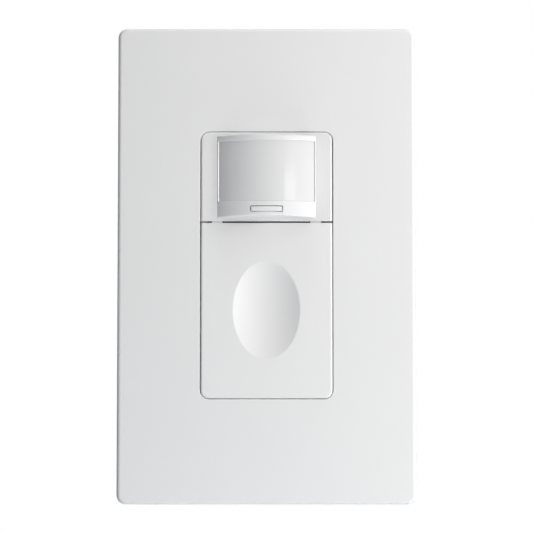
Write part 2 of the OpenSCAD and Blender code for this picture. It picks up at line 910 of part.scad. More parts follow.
module sensor_lens() {
    opening_low = lip_low + retainer_rim;
    tier = (lip_high - retainer_rim - opening_low) / 3;
    color(LENS_WHITE) {
        between_z(lens_low + fit_gap, lens_high - fit_gap)
            ring_section(lens_r, lens_skin_r, lens_half);
        difference() {
            between_z(lip_low, lip_high)
                ring_section(lip_r, lens_back_r, lip_half);
            lens_opening();
        }
        for (i = [0:2])
            lens_teeth(opening_low + (i + 0.03) * tier, opening_low + (i + 0.97) * tier, 14 + 8 * i);
    }
}

// The opening that the retainer leaves free for the lens
module lens_opening() {
    half = lip_half - retainer_rim;
    block([-half, face_y - 2 * hood_out, lip_low + retainer_rim],
        [half, face_back, lip_high - retainer_rim]);
}

module lens_retainer() {
    ear_low = lens_low + lens_lip;
    ear_high = lens_high - lens_lip;
    color(DARK)
        difference() {
            union() {
                between_z(lip_low, lip_high)
                    hood_section(retainer_r, lip_half, face_back);
                between_z(ear_low, ear_high)
                    hood_section(retainer_r, lip_half, face_back + retainer_t);
                block([-ear_half, face_back, ear_low], [ear_half, face_back + retainer_t, ear_high]);
            }
            between_z(lip_low - cut, lip_high + cut)
                hood_section(retainer_r - retainer_t, lip_half - retainer_t, face_back + 2 * retainer_t);
            lens_opening();
        }
}

module status_window() {
    sink = 0.1;
    flange = 0.8;
    low = status_z - status_h / 2 + status_gap;
    high = status_z + status_h / 2 - status_gap;
    low_inside = max(low, chamber_low + fit_gap);
    back_r = hood_r - hood_wall;
    color(LENS_WHITE) {
        between_z(low, high)
            ring_section(hood_r - sink, back_r - flange / 2, status_w / 2 - status_gap);
        between_z(low_inside, high)
            ring_section(back_r, back_r - flange, status_w / 2 + flange);
        block([-pipe_w / 2, hood_centre_y - back_r + flange / 2, low_inside],
            [pipe_w / 2, pipe_end_y, high]);
    }
}

// A round-bottomed oval dish, sunk in the face; grow gives its outer skin
module dish(grow) {
    rx = dish_rx + grow;
    rz = dish_rz + grow;
    rim = dish_depth + face_wall;
    translate([0, face_y + dish_depth - dish_rz, dish_z])
        rotate([0, 90, 0])
            rotate_extrude()
                intersection() {
                    translate([rz - rx, 0])
                        circle(rx);
                    translate([dish_rz - rim, -dish_w])
                        square([rim + grow, 2 * dish_w]);
                }
}

module button_skirt() {
    high = deck_high - 2 * skirt_t;
    difference() {
        block([-skirt_half_w, face_back - face_wall / 2, skirt_low], [skirt_half_w, skirt_back, high]);
        block([skirt_t - skirt_half_w, face_back - cut, skirt_low + skirt_t],
            [skirt_half_w - skirt_t, skirt_back + cut, high + cut]);
    }
}

module button() {
    pin_end = sleeve_half_w + pin_bite - run_gap / 2;
    post_r = 0.9 * plunger_r;
    tab_x0 = hinge_tab_x - hinge_tab_w / 2;
    tab_x1 = hinge_tab_x + hinge_tab_w / 2;
    tab_y = face_y + hinge_tab_inset;
    color(WHITE) {
        difference() {
            union() {
                intersection() {
                    face_blank();
                    block([-face_w, face_y - cut, -face_h], [face_w, 0, button_top]);
                }
                intersection() {
                    dish(face_wall);
                    block([-dish_w, face_back - face_wall / 2, -face_h], [dish_w, 0, button_top]);
                }
                button_skirt();
                rod_y(post_r, face_back - face_wall / 2, control_y - fit_gap, 0, plunger_z);
            }
            dish(0);
        }
        both_sides() {
            block([tab_x0, tab_y, button_top - face_wall], [tab_x1, hinge_y, hinge_z - knuckle_r / 2]);
            rod_x(knuckle_r, tab_x0, tab_x1, hinge_y, hinge_z);
            rod_x(hinge_pin_r, hinge_tab_x, pin_end, hinge_y, hinge_z);
            block([hook_x - hook_w / 2, skirt_back - hook_h, skirt_low - hook_reach],
                [hook_x + hook_w / 2, skirt_back, skirt_low + skirt_t]);
        }
    }
}

// Push switch under the button
module switch_body() {
    room = plunger_collar_t + plunger_drop + run_gap;
    inside = control_gap + switch_lid;
    color(DARK)
        difference() {
            between_y(control_gap, board_y)
                translate([0, plunger_z])
                    round_rect(switch_w, switch_w, 0.4);
            rod_y(plunger_r + pin_gap, control_gap - cut, inside + cut, 0, plunger_z);
            rod_y(plunger_collar_r + pin_gap, inside, inside + room, 0, plunger_z);
        }
}

module switch_plunger() {
    inside = control_gap + switch_lid;
    color([0.3, 0.3, 0.32]) {
        rod_y(plunger_r, control_y, inside + plunger_collar_t, 0, plunger_z);
        rod_y(plunger_collar_r, inside + fit_gap, inside + plunger_collar_t, 0, plunger_z);
    }
}

// Body of a rotary control
module trimmer(side) {
    x = side * dial_x;
    color([0.2, 0.33, 0.55])
        difference() {
            between_y(control_gap, board_y)
                translate([x, dial_z])
                    round_rect(trimmer_w, trimmer_w, 0.6);
            rod_y(shaft_r + pin_gap, control_gap - cut, board_y - trimmer_floor, x, dial_z);
        }
}

// Turning knob of a rotary control, with a driver slot and a pointer notch
module dial(side) {
    slot_half = 0.45;
    slot_depth = 1;
    slot_y = control_y + slot_depth;
    color([0.9, 0.9, 0.88])
        translate([side * dial_x, 0, dial_z]) {
            difference() {
                rod_y(dial_r, control_y, control_gap - pin_gap);
                block([-dial_r / 2, control_y - cut, -slot_half], [dial_r / 2, slot_y, slot_half]);
                block([-slot_half, control_y - cut, 0], [slot_half, slot_y, dial_r + cut]);
            }
            rod_y(shaft_r, control_gap - cut, board_y - 2 * trimmer_floor);
        }
}

module time_trimmer() {
    trimmer(-1);
}

module light_trimmer() {
    trimmer(1);
}

module time_dial() {
    dial(-1);
}

module light_dial() {
    dial(1);
}

// Slide switch for the mode of operation
module mode_switch() {
    room = slider_half + slider_wing + run_gap;
    half_h = lever_w / 2 + slider_lip + pin_gap;
    color(STEEL)
        difference() {
            block([-room - slider_lip, control_gap, slider_z - half_h - slider_lip],
                [room + slider_lip, board_y, slider_z + half_h + slider_lip]);
            block([-room, control_gap + slider_lid, slider_z - half_h],
                [room, board_y - slider_lip, slider_z + half_h]);
            block([-slider_half - pin_gap, control_gap - cut, slider_z - lever_w / 2 - pin_gap],
                [slider_half + pin_gap, control_gap + cut, slider_z + lever_w / 2 + pin_gap]);
        }
}

module mode_slider() {
    wing_y = control_gap + slider_lid + pin_gap;
    half_h = lever_w / 2 + slider_lip;
    color(DARK) {
        block([-lever_w / 2, control_y, slider_z - lever_w / 2],
            [lever_w / 2, wing_y + cut, slider_z + lever_w / 2]);
        block([-lever_w / 2 - slider_wing, wing_y, slider_z - half_h],
            [lever_w / 2 + slider_wing, board_y - slider_lip - pin_gap, slider_z + half_h]);
    }
}

module control_board() {
    color(BOARD_GREEN)
        between_y(board_y, board_back)
            difference() {
                round_rect(2 * board_half_w, 2 * board_half_h, 1);
                for (s = [-1, 1])
                    translate([s * board_screw_x, board_screw_z])
                        circle(board_screw_r + fit_gap);
            }
}

module board_screws() {
    length = board_t + board_screw_bite;
    color(STEEL)
        both_sides()
            translate([board_screw_x, board_back, board_screw_z])
                rotate([-90, 0, 0])
                    screw(board_screw_r, length, 1.9 * board_screw_r, board_screw_head_h);
}

// Motion detector: a metal can with a wider base, an index tab and a window in its cap
module pir_detector() {
    base_h = 0.7;
    rim = 0.5;
    tab = 1.3;
    color(STEEL)
        difference() {
            union() {
                rod_y(pir_r, board_y - pir_h, board_y, 0, lens_z);
                rod_y(pir_r + rim, board_y - base_h, board_y, 0, lens_z);
                translate([0, 0, lens_z])
                    rotate([0, 45, 0])
                        block([pir_r, board_y - base_h, -rim], [pir_r + tab, board_y, rim]);
            }
            filter_plate(0, -cut);
        }
}

module pir_filter() {
    color(DARK)
        filter_plate(fit_gap, fit_gap);
}

// The plate in the detector's cap, with a gap on its sides and a depth below the cap
module filter_plate(gap, sink) {
    half_w = 0.5 * pir_r - gap;
    half_h = 0.4 * pir_r - gap;
    top = board_y - pir_h;
    block([-half_w, top + sink, lens_z - half_h], [half_w, top + 0.5, lens_z + half_h]);
}

module photocell() {
    r = 2.2;
    h = 1.8;
    groove = 0.3;
    x = 0.72 * chamber_half;
    z = lens_low + r;
    color([0.8, 0.5, 0.35])
        difference() {
            rod_y(r, board_y - h, board_y, x, z);
            for (i = [-1, 0, 1])
                block([x - 0.7 * r, board_y - h - cut, z + i * r / 2 - groove / 2],
                    [x + 0.7 * r, board_y - h + groove, z + i * r / 2 + groove / 2]);
        }
}

module status_led() {
    r = 1.2;
    dome_y = pipe_end_y + run_gap + r;
    color([0.5, 0.85, 0.5]) {
        rod_y(r, dome_y, board_y, 0, status_z);
        translate([0, dome_y, status_z])
            sphere(r);
    }
}

module power_board() {
    notch_r = post_r + run_gap;
    color(BOARD_GREEN)
        between_y(power_y, power_y + board_t)
            difference() {
                round_rect(2 * power_half_w, 2 * board_half_h, 1);
                for (sx = [-1, 1], sz = [-1, 1])
                    translate([sx * case_x, sz * case_z])
                        circle(notch_r);
                for (t = TERMINALS)
                    translate([t[0] * (pocket_floor + terminal_t / 2), t[1] * terminal_pitch / 2])
                        square([terminal_t + 2 * fit_gap, tail_w + 2 * fit_gap], center = true);
            }
}

module relay() {
    color([0.14, 0.3, 0.6])
        between_y(power_y - relay_h, power_y)
            translate(relay_at)
                round_rect(relay_w, relay_l, 0.8);
}

module film_capacitor() {
    color([0.75, 0.62, 0.2])
        between_y(power_y - film_h, power_y)
            translate(film_at)
                round_rect(film_w, film_l, 0.8);
}

// Storage capacitor: a can with the groove that seals its rubber foot
module storage_capacitor() {
    groove_r = 0.6;
    foot_h = 2.2;
    color([0.15, 0.17, 0.3])
        translate([storage_at[0], power_y, storage_at[1]])
            rotate([90, 0, 0])
                rotate_extrude()
                    difference() {
                        square([storage_r, storage_h]);
                        translate([storage_r, foot_h])
                            circle(groove_r);
                    }
}

module varistor() {
    disc_r = 5;
    disc_t = 3.4;
    y = power_y - disc_r - lead_r;
    color([0.2, 0.35, 0.65]) {
        translate([varistor_at[0], y, varistor_at[1]])
            cylinder(r = disc_r, h = disc_t, center = true);
        for (s = [-1, 1])
            rod_y(lead_r, y, power_y, varistor_at[0] + s * disc_r / 2, varistor_at[1]);
    }
}

module fuse_resistor() {
    r = 2;
    half = 4.5;
    bend = 1.5;
    y = power_y - r - lead_r;
    color([0.45, 0.6, 0.55])
        translate([fuse_at[0], 0, 0]) {
            rod_x(r, -half, half, y, fuse_at[1]);
            rod_x(lead_r, -half - bend, half + bend, y, fuse_at[1]);
            for (s = [-1, 1])
                rod_y(lead_r, y, power_y, s * (half + bend - lead_r), fuse_at[1]);
        }
}

// Pins between the two boards, with a header at each end
module board_link() {
    header_h = 2.5;
    pin_half = 0.32;
    half = link_pins * link_pitch / 2;
    color(DARK)
        translate([link_at[0], 0, link_at[1]]) {
            block([-half, board_back, -link_pitch / 2], [half, board_back + header_h, link_pitch / 2]);
            block([-half, power_y - header_h, -link_pitch / 2], [half, power_y, link_pitch / 2]);
            for (i = [0:link_pins - 1])
                translate([(i + 0.5) * link_pitch - half, 0, 0])
                    block([-pin_half, board_back + cut, -pin_half], [pin_half, power_y - cut, pin_half]);
        }
}

// The walls of one terminal pocket, or with room = 0 the pocket itself
module terminal_pocket(t, room) {
    half_h = pocket_h / 2 + room;
    z = t[1] * terminal_pitch / 2;
    mirror([t[0] > 0 ? 0 : 1, 0, 0])
        block([pocket_floor - room, pocket_y - room, z - half_h],
            [body_w / 2 + (room > 0 ? -body_wall / 2 : cut), pocket_end + room, z + half_h]);
}

module rear_housing() {
    inner_w = body_w - 2 * body_wall;
    inner_h = body_h - 2 * body_wall;
    inner_r = max(0.5, body_corner_r - body_wall);
    color([0.2, 0.2, 0.21])
        difference() {
            union() {
                difference() {
                    mirror([0, 1, 0])
                        soft_block(body_w, body_h, body_corner_r, body_edge_r, -housing_back, -flange_t);
                    between_y(flange_t - cut, housing_floor)
                        round_rect(inner_w, inner_h, inner_r);
                }
                intersection() {
                    both_sides()
                        both_ends()
                            rod_y(post_r, flange_t, housing_floor + body_wall / 2, case_x, case_z);
                    between_y(flange_t, housing_back)
                        round_rect(body_w, body_h, body_corner_r);
                }
                both_sides()
                    both_ends()
                        rod_y(boss_r, power_y + board_t, housing_floor + body_wall / 2,
                            board_screw_x, board_half_h - boss_r);
                for (t = TERMINALS)
                    terminal_pocket(t, pocket_wall);
            }
            for (t = TERMINALS) {
                terminal_pocket(t, 0);
                terminal_opening(t);
            }
            both_sides()
                both_ends() {
                    rod_y(case_screw_r + fit_gap, flange_t - cut, housing_back, case_x, case_z);
                    rod_y(case_head_r + fit_gap, case_seat_y, housing_back + cut, case_x, case_z);
                }
        }
}

// Hole for the screw and slot for the tail of one terminal
module terminal_opening(t) {
    z = t[1] * terminal_pitch / 2;
    mirror([t[0] > 0 ? 0 : 1, 0, 0]) {
        rod_x(terminal_screw_r + run_gap, pocket_floor - 2 * pocket_wall, pocket_floor + cut,
            terminal_y, z);
        block([pocket_floor, pocket_end - cut, z - tail_w / 2 - fit_gap],
            [pocket_floor + terminal_t + fit_gap, pocket_end + 2 * pocket_wall, z + tail_w / 2 + fit_gap]);
    }
}

module case_screws() {
    length = case_seat_y + strap_t - fit_gap;
    color(STEEL)
        both_sides()
            both_ends()
                translate([case_x, case_seat_y, case_z])
                    rotate([-90, 0, 0])
                        screw(case_screw_r, length, case_head_r, case_head_h);
}

module terminal_plates() {
    pad_l = pocket_l - 2 * run_gap;
    pad_h = pocket_h - 2 * run_gap;
    solder_end = 0.8;
    tail_end = power_y + board_t + solder_end;
    color(BRASS)
        for (t = TERMINALS)
            mirror([t[0] > 0 ? 0 : 1, 0, 0])
                between_x(pocket_floor, pocket_floor + terminal_t)
                    translate([terminal_y, t[1] * terminal_pitch / 2])
                        difference() {
                            union() {
                                square([pad_l, pad_h], center = true);
                                translate([0, -tail_w / 2])
                                    square([tail_end - terminal_y, tail_w]);
                            }
                            circle(terminal_screw_r + fit_gap);
                        }
}

module terminal_screws() {
    color(BRASS)
        for (t = TERMINALS)
            translate([t[0] * (pocket_floor + terminal_t), terminal_y, t[1] * terminal_pitch / 2])
                rotate([0, t[0] * 90, 0])
                    screw(terminal_screw_r, terminal_screw_l, terminal_head_r, terminal_head_h);
}

wall_plate();
plate_bracket();
plate_screws();
mounting_strap();
box_screws();
screw_retainers();
ground_screw();
front_frame();
sensor_panel();
sensor_lens();
lens_retainer();
status_window();
button();
switch_body();
switch_plunger();
time_trimmer();
light_trimmer();
time_dial();
light_dial();
mode_switch();
mode_slider();
control_board();
board_screws();
pir_detector();
pir_filter();
photocell();
status_led();
power_board();
relay();
film_capacitor();
storage_capacitor();
varistor();
fuse_resistor();
board_link();
rear_housing();
case_screws();
terminal_plates();
terminal_screws();
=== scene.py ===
# Looks of a motion sensor light switch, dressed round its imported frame.
# Pieces are modelled in millimetres in the frame's axes, x right, y into the wall and z up,
# and become metres when they are finished.
import math

import bmesh
import bpy
from mathutils import Matrix, Vector


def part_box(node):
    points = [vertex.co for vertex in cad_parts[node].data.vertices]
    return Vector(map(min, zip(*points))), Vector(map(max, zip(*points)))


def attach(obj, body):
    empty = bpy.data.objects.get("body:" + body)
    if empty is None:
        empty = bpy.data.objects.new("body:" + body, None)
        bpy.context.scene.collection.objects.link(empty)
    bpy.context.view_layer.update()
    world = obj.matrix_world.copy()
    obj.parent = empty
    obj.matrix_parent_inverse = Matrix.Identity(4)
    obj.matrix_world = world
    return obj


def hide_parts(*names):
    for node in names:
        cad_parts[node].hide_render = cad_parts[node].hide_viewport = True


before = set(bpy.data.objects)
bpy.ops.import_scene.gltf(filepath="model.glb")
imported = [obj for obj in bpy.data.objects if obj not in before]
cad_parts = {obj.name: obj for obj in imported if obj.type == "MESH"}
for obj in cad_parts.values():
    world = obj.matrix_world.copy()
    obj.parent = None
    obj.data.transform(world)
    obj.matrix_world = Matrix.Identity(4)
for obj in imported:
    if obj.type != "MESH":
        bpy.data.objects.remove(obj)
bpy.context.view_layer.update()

MM = 0.001
PER_METRE = 1000
QUARTER_TURN = math.pi / 2
BOTH_SIDES = (-1, 1)

# How finely forms are cut, and how near counts as touching
CORNER_STEPS = 17
RING = 4 * (CORNER_STEPS + 1)
FILLET_STEPS = 6
ROD_STEPS = 48
HOOD_STEPS = 360
THREAD_STEPS = 24
SMOOTH_ANGLE = math.radians(32)
SOFTEN_ANGLE = math.radians(25)
EASE_ANGLE = math.radians(38)
EASE_STEPS = 2
FLAT_ANGLE = math.radians(0.4)
NEAR = 1e-3
MERGE_REACH = 0.0005
SLIVER = 0.0002
FLAT = 1e-4
CUT_REACH = 1e-5
ON_EDGE = 0.02

# How far a cutting block passes what it cuts, and a depth ahead of every piece
PAST = 1
FAR_FRONT = -20

# Rings this far inside a rounded edge keep the face beside it flat
PLATE_HOLD = 0.15
EDGE_HOLD = 0.1

# Cover plate
PLATE_HALF_W = 37.3
PLATE_HALF_H = 59.6
PLATE_FRONT = -6.8
PLATE_WALL = 1.9
PLATE_CORNER = 2.3
PLATE_CORNER_LEAST = 0.3
PLATE_EDGE = 0.9
WINDOW_HALF_W = 16.64
WINDOW_HALF_H = 33.49
WINDOW_CORNER = 2.3
WINDOW_EDGE = 0.14
NOTCH_HALF = 4
NOTCH_DEEP = 1.6
NOTCH_LOW = -61
NOTCH_HIGH = -57
NOTCH_ROUND = 0.5
LEDGE_PLACES = (-36, 0, 36)
LEDGE_HALF = 5.5
LEDGE_IN = 34.5
LEDGE_OUT = 36.2
LEDGE_FRONT = -1.9
LEDGE_BACK = -0.9
LEDGE_SLOPE = 0.95

# Device face
FACE_HALF_W = 16.46
FACE_HIGH = 33.36
FACE_LOW = -33.36
FACE_FRONT = -7.0
FACE_BACK = -5.4
FACE_CORNER = 1.95
FACE_EDGE = 0.5
SPLIT_EDGE = 0.1
SPLIT_SHARE = SPLIT_EDGE / FACE_EDGE
SPLIT_CORNER = 0.25
PANEL_LOW = 10.9
BUTTON_TOP = 10.54
SKIRT_WALL = 1.2
SKIRT_ROOT = 0.8
SKIRT_ROUND = 0.15

# Sensor panel: hood, chamber, lens opening and skirt
HOOD_R = 24.0
HOOD_CENTRE = 10.6
HOOD_HALF = 12.25
HOOD_LOW = 11.225
HOOD_HIGH = 32.0
HOOD_BACK = FACE_BACK - 0.6
HOOD_WALL = 1.2
HOOD_SLOPE = math.radians(6)
HOOD_SPARE = 0.15
HOOD_ROUND = 0.28
HOOD_SIDE_ROUND = 0.08
HOOD_PROUD = FACE_FRONT - 0.2
CHAMBER_HALF = 11.05
CHAMBER_LOW = 12.925
CHAMBER_HIGH = 31.2
OPENING_HALF = 11.85
OPENING_LOW = 15.475
OPENING_HIGH = 30.6
OPENING_ROUND = 0.09
RAIL_SLOPE = 0.22
RAIL_TURN = math.radians(33)
RAIL_TOOL = 0.6
RAIL_END = 0.1
PANEL_SKIRT_HALF = 14.8
PANEL_SKIRT_HIGH = 31.65
PANEL_SKIRT_BACK = -2.7

# Status window: its hole, its front, and the flange and light pipe behind
STATUS_HALF = 4.1
STATUS_LOW = 12.75
STATUS_HIGH = 14.3
STATUS_CORNER = 0.4
STATUS_ROUND = 0.06
STATUS_GAP = 0.2
STATUS_END_GAP = 0.28
LIGHT_SINK = 0.1
LIGHT_FRONT = -16
LIGHT_BACK = -11.5
LIGHT_EDGE = -12.9
LIGHT_ROUND = 0.07
FLANGE_HALF = 4.9
FLANGE_LOW = 12.975
FLANGE_BACK = -11.2
PIPE_HALF = 2.5
PIPE_FRONT = -12.0
PIPE_BACK = 1.2
PIPE_ROUND = 0.12

# Button: the dish with its bulge behind, then skirt, post, hinge and hooks
DISH_HALF_W = 8.4
DISH_HALF_H = 12.2
DISH_DEPTH = 1.5
DISH_Z = -11.3125
DISH_RIM = ((0.3, 0), (0.14, 0), (0.05, 0.012))
DISH_STEPS = 16
DISH_LEAN = 0.045
DISH_LIP = 0.01
DISH_LEAST = 0.05
BULGE_HALF_W = 9.6
BULGE_HALF_H = 13.4
BULGE_SHARES = (0.1, 0.3, 0.5, 0.7, 0.85, 0.95, 1.0)
BUTTON_SKIRT_HALF = 14.5
BUTTON_SKIRT_LOW = -31.35
BUTTON_SKIRT_HIGH = 7.1
BUTTON_SKIRT_BACK = -2.75
POST_R = 1.53
POST_Z = -19.5
POST_FRONT = -4.6
POST_BACK = -2.65
POST_ROUND = 0.2
HINGE_Y = -4.0
HINGE_Z = 12.225
TAB_X = 12.35
TAB_HALF = 1.35
TAB_FRONT = -6.1
TAB_LOW = 9
TAB_HIGH = 11.67
TAB_ROUND = 0.15
TAB_ROOM_HALF = 1.7
TAB_ROOM_FRONT = -6.275
KNUCKLE_R = 1.1
PIN_R = 0.8
PIN_END = 15.67
HOOK_X = 8
HOOK_HALF = 2
HOOK_FRONT = -3.45
HOOK_REACH = 1.2
HOOK_ROOT = 1.0

# Screws: thread form in shares of the pitch, head form, and seats
MACHINE_PITCH = 0.794
CASE_PITCH = 0.7
BOARD_PITCH = 0.6
THREAD_DEPTH = 0.58
THREAD_FLANK = 0.38
THREAD_CREST = 0.12
NECK_LAP = 0.3
HEAD_ROOT = 0.3
HEAD_DOME = 1.5
HEAD_EDGE = 0.12
HEAD_SIDE_LEAST = 0.2
DOME_STEPS = 6
DOME_DROP = 0.08
DOME_INSET = 0.06
DOME_CAP = 0.12
RECESS_LONG = 1.1
RECESS_SLIM = 0.3
RECESS_FLOOR = 0.4
RECESS_TAPER = 0.72
PLATE_SCREW_Y = -2.9
PLATE_SCREW_Z = 48.4
BOX_SCREW_Y = -1.3
BOX_SCREW_Z = 41.65
GROUND_SCREW_X = -16.5
TERMINAL_X = 17.4
TERMINAL_Y = 13.2
TERMINAL_Z = 11
TERMINAL_HEAD_H = 2.0
CASE_SCREW_X = 18.85
CASE_SCREW_Y = 27.7
CASE_SCREW_Z = 27
BOARD_SCREW_Y = 6.2
BOARD_HEAD_R = 1.71

# Camera and floor, in metres
CAMERA_TILT = math.radians(3.6)
CAMERA_AWAY = 0.508
CAMERA_LENS = 135.5
CAMERA_SENSOR = 36.0
FLOOR_SIZE = 1.6
FLOOR_CELLS = 8
FLOOR_Z = -0.3

# Colours of the light
WHITE = (1, 1, 1)
WARM = (1.0, 0.977, 0.955)
COOL = (0.955, 0.98, 1.0)
SKY = (0.9, 0.953, 1.0)
ROOM = (0.014, 0.022, 0.032)

# Surface noise lies mostly in this range
NOISE_LOW = 0.3
NOISE_HIGH = 0.7

# Places of the Mix node's colour sockets
MIX_LOW = 6
MIX_HIGH = 7
MIX_RESULT = 2


# Selecting and editing

def near(a, b):
    return (Vector(a) - Vector(b)).length < NEAR


def clear_selection():
    if bpy.context.mode != "OBJECT":
        bpy.ops.object.mode_set(mode="OBJECT")
    bpy.ops.object.select_all(action="DESELECT")


def take(piece):
    clear_selection()
    piece.select_set(True)
    bpy.context.view_layer.objects.active = piece


def edit(piece):
    take(piece)
    bpy.ops.object.mode_set(mode="EDIT")


def stop_editing():
    bpy.ops.object.mode_set(mode="OBJECT")


def settle(piece):
    """Brings a piece's place, turn and scale into its mesh."""
    take(piece)
    bpy.ops.object.transform_apply(location=True, rotation=True, scale=True)


def named(name):
    piece = bpy.context.object
    piece.name = name
    piece.data.name = name
    return piece


def start(name):
    clear_selection()
    bpy.ops.object.add(type="MESH")
    piece = named(name)
    bpy.ops.object.mode_set(mode="EDIT")
    return piece


def pick(kind, test):
    """Selects the vertices, edges or faces that pass the test, in edit mode."""
    bpy.ops.mesh.select_mode(type=kind)
    bpy.ops.mesh.select_all(action="DESELECT")
    piece = bpy.context.object
    mesh = bmesh.from_edit_mesh(piece.data)
    mesh.verts.index_update()
    parts = {"VERT": mesh.verts, "EDGE": mesh.edges, "FACE": mesh.faces}[kind]
    for part in parts:
        if test(part):
            part.select_set(True)
    mesh.select_flush_mode()
    bmesh.update_edit_mesh(piece.data)


def face_outward():
    """Turns all faces outward, in edit mode."""
    bpy.ops.mesh.select_all(action="SELECT")
    bpy.ops.mesh.normals_make_consistent(inside=False)


def edge_middle(edge):
    return (edge.verts[0].co + edge.verts[1].co) / 2


def soften(piece, width, test=None, steps=2):
    """Rounds the sharp edges whose middles pass the test."""
    edit(piece)
    pick("EDGE", lambda e: len(e.link_faces) == 2 and e.calc_face_angle(0) > SOFTEN_ANGLE
         and (test is None or test(edge_middle(e))))
    bpy.ops.mesh.bevel(offset=width, segments=steps, affect="EDGES", clamp_overlap=True)
    stop_editing()


# Lofts through rings

def outline(half_w, low, high, y, r_high, r_low):
    """A ring for a loft: a rectangle with rounded corners, facing the front."""
    middle = (0, y, (low + high) / 2)
    bpy.ops.mesh.select_all(action="DESELECT")
    bpy.ops.mesh.primitive_plane_add(size=1, location=middle, rotation=(QUARTER_TURN, 0, 0))
    bpy.ops.transform.resize(value=(2 * half_w, 1, high - low), center_override=middle)
    for z, r in ((high, r_high), (low, r_low)):
        pick("VERT", lambda v: near(v.co, (math.copysign(half_w, v.co.x), y, z)))
        bpy.ops.mesh.bevel(offset=r, segments=CORNER_STEPS, affect="VERTICES")
    bpy.ops.mesh.select_all(action="SELECT")
    bpy.ops.mesh.delete(type="ONLY_FACE")


def oval(half_w, half_h, y, z):
    """A ring for a loft: an oval, facing the front."""
    middle = (0, y, z)
    bpy.ops.mesh.select_all(action="DESELECT")
    bpy.ops.mesh.primitive_circle_add(
        vertices=RING, radius=1, location=middle, rotation=(QUARTER_TURN, 0, 0))
    bpy.ops.transform.resize(value=(half_w, 1, half_h), center_override=middle)


def circle(r, z):
    """A ring for a loft: a circle, facing up."""
    bpy.ops.mesh.select_all(action="DESELECT")
    bpy.ops.mesh.primitive_circle_add(vertices=RING, radius=r, location=(0, 0, z))


def loft(name, rings, closed=False):
    """A skin through rings of equal count, closed on itself or by a face at each end."""
    piece = start(name)
    bmesh.from_edit_mesh(piece.data).verts.layers.int.new("ring")
    depths = []
    for i, (make, *sizes) in enumerate(rings):
        make(*sizes)
        mesh = bmesh.from_edit_mesh(piece.data)
        ring = mesh.verts.layers.int["ring"]
        fresh = [v for v in mesh.verts if v[ring] == 0]
        for v in fresh:
            v[ring] = i + 1
        across = [v.co.y for v in fresh]
        depths.append((min(across), max(across)))
        bmesh.update_edit_mesh(piece.data)
    mesh.verts.index_update()
    ring_of = {v.index: v[ring] - 1 for v in mesh.verts}
    hoops = {frozenset(v.index for v in e.verts) for e in mesh.edges}
    last = len(rings) - 1
    pairs = [(i, i + 1) for i in range(last)]
    if closed:
        pairs.append((last, 0))

    def in_rings(edge, chosen):
        ends = frozenset(v.index for v in edge.verts)
        return ends in hoops and ring_of[min(ends)] in chosen

    for pair in pairs:
        pick("EDGE", lambda e: in_rings(e, pair))
        reach = depths[pair[0]] + depths[pair[1]]
        if max(reach) - min(reach) < FLAT:
            bpy.ops.mesh.fill()
        else:
            bpy.ops.mesh.bridge_edge_loops()
    if not closed:
        for end in (0, last):
            pick("EDGE", lambda e: in_rings(e, (end,)))
            bpy.ops.mesh.edge_face_add()
    face_outward()
    stop_editing()
    piece.data.attributes.remove(piece.data.attributes["ring"])
    return piece


def fillet(r):
    """Steps round a quarter circle: how far in, and how far from its start."""
    for i in range(FILLET_STEPS + 1):
        a = QUARTER_TURN * i / FILLET_STEPS
        yield r * (1 - math.cos(a)), r * math.sin(a)


# Simple forms and how they are joined

def block(name, low, high):
    clear_selection()
    middle = [(a + b) / 2 for a, b in zip(low, high)]
    bpy.ops.mesh.primitive_cube_add(size=1, location=middle)
    piece = named(name)
    piece.scale = [b - a for a, b in zip(low, high)]
    settle(piece)
    return piece


def rod(name, r, low, high, axis):
    clear_selection()
    low, high = Vector(low), Vector(high)
    turn = {"X": (0, QUARTER_TURN, 0), "Y": (QUARTER_TURN, 0, 0), "Z": (0, 0, 0)}[axis]
    bpy.ops.mesh.primitive_cylinder_add(
        vertices=ROD_STEPS, radius=r, depth=(high - low).length, location=(low + high) / 2,
        rotation=turn)
    piece = named(name)
    settle(piece)
    return piece


def combine(piece, tool, operation):
    change = piece.modifiers.new("combine", "BOOLEAN")
    change.operation = operation
    change.solver = "EXACT"
    change.object = tool
    take(piece)
    bpy.ops.object.modifier_apply(modifier=change.name)
    bpy.data.objects.remove(tool)


def add_to(piece, *others):
    for other in others:
        combine(piece, other, "UNION")


def cut_from(piece, *tools):
    for tool in tools:
        combine(piece, tool, "DIFFERENCE")


def slice_off(plane_co, plane_no):
    """Cuts away what lies on the plane's outer side and closes the cut, in edit mode."""
    bpy.ops.mesh.select_all(action="SELECT")
    bpy.ops.mesh.bisect(plane_co=plane_co, plane_no=plane_no, use_fill=True, clear_outer=True,
                        threshold=CUT_REACH)


def hood_block(name, r, half_w, low, high, back):
    """A block whose front is curved like the hood."""
    clear_selection()
    bpy.ops.mesh.primitive_cylinder_add(
        vertices=HOOD_STEPS, radius=r, depth=high - low,
        location=(0, HOOD_CENTRE, (low + high) / 2))
    piece = named(name)
    settle(piece)
    edit(piece)
    slice_off((half_w, 0, 0), (1, 0, 0))
    slice_off((-half_w, 0, 0), (-1, 0, 0))
    slice_off((0, back, 0), (0, 1, 0))
    stop_editing()
    return piece


def copy_of(mesh, name):
    """A new piece with its own copy of a mesh."""
    piece = bpy.data.objects.new(name, mesh.copy())
    bpy.context.scene.collection.objects.link(piece)
    return piece


def mirrored(piece):
    """A copy on the other side of the middle."""
    twin = copy_of(piece.data, piece.name + "_twin")
    twin.scale.x = -1
    settle(twin)
    edit(twin)
    face_outward()
    stop_editing()
    return twin


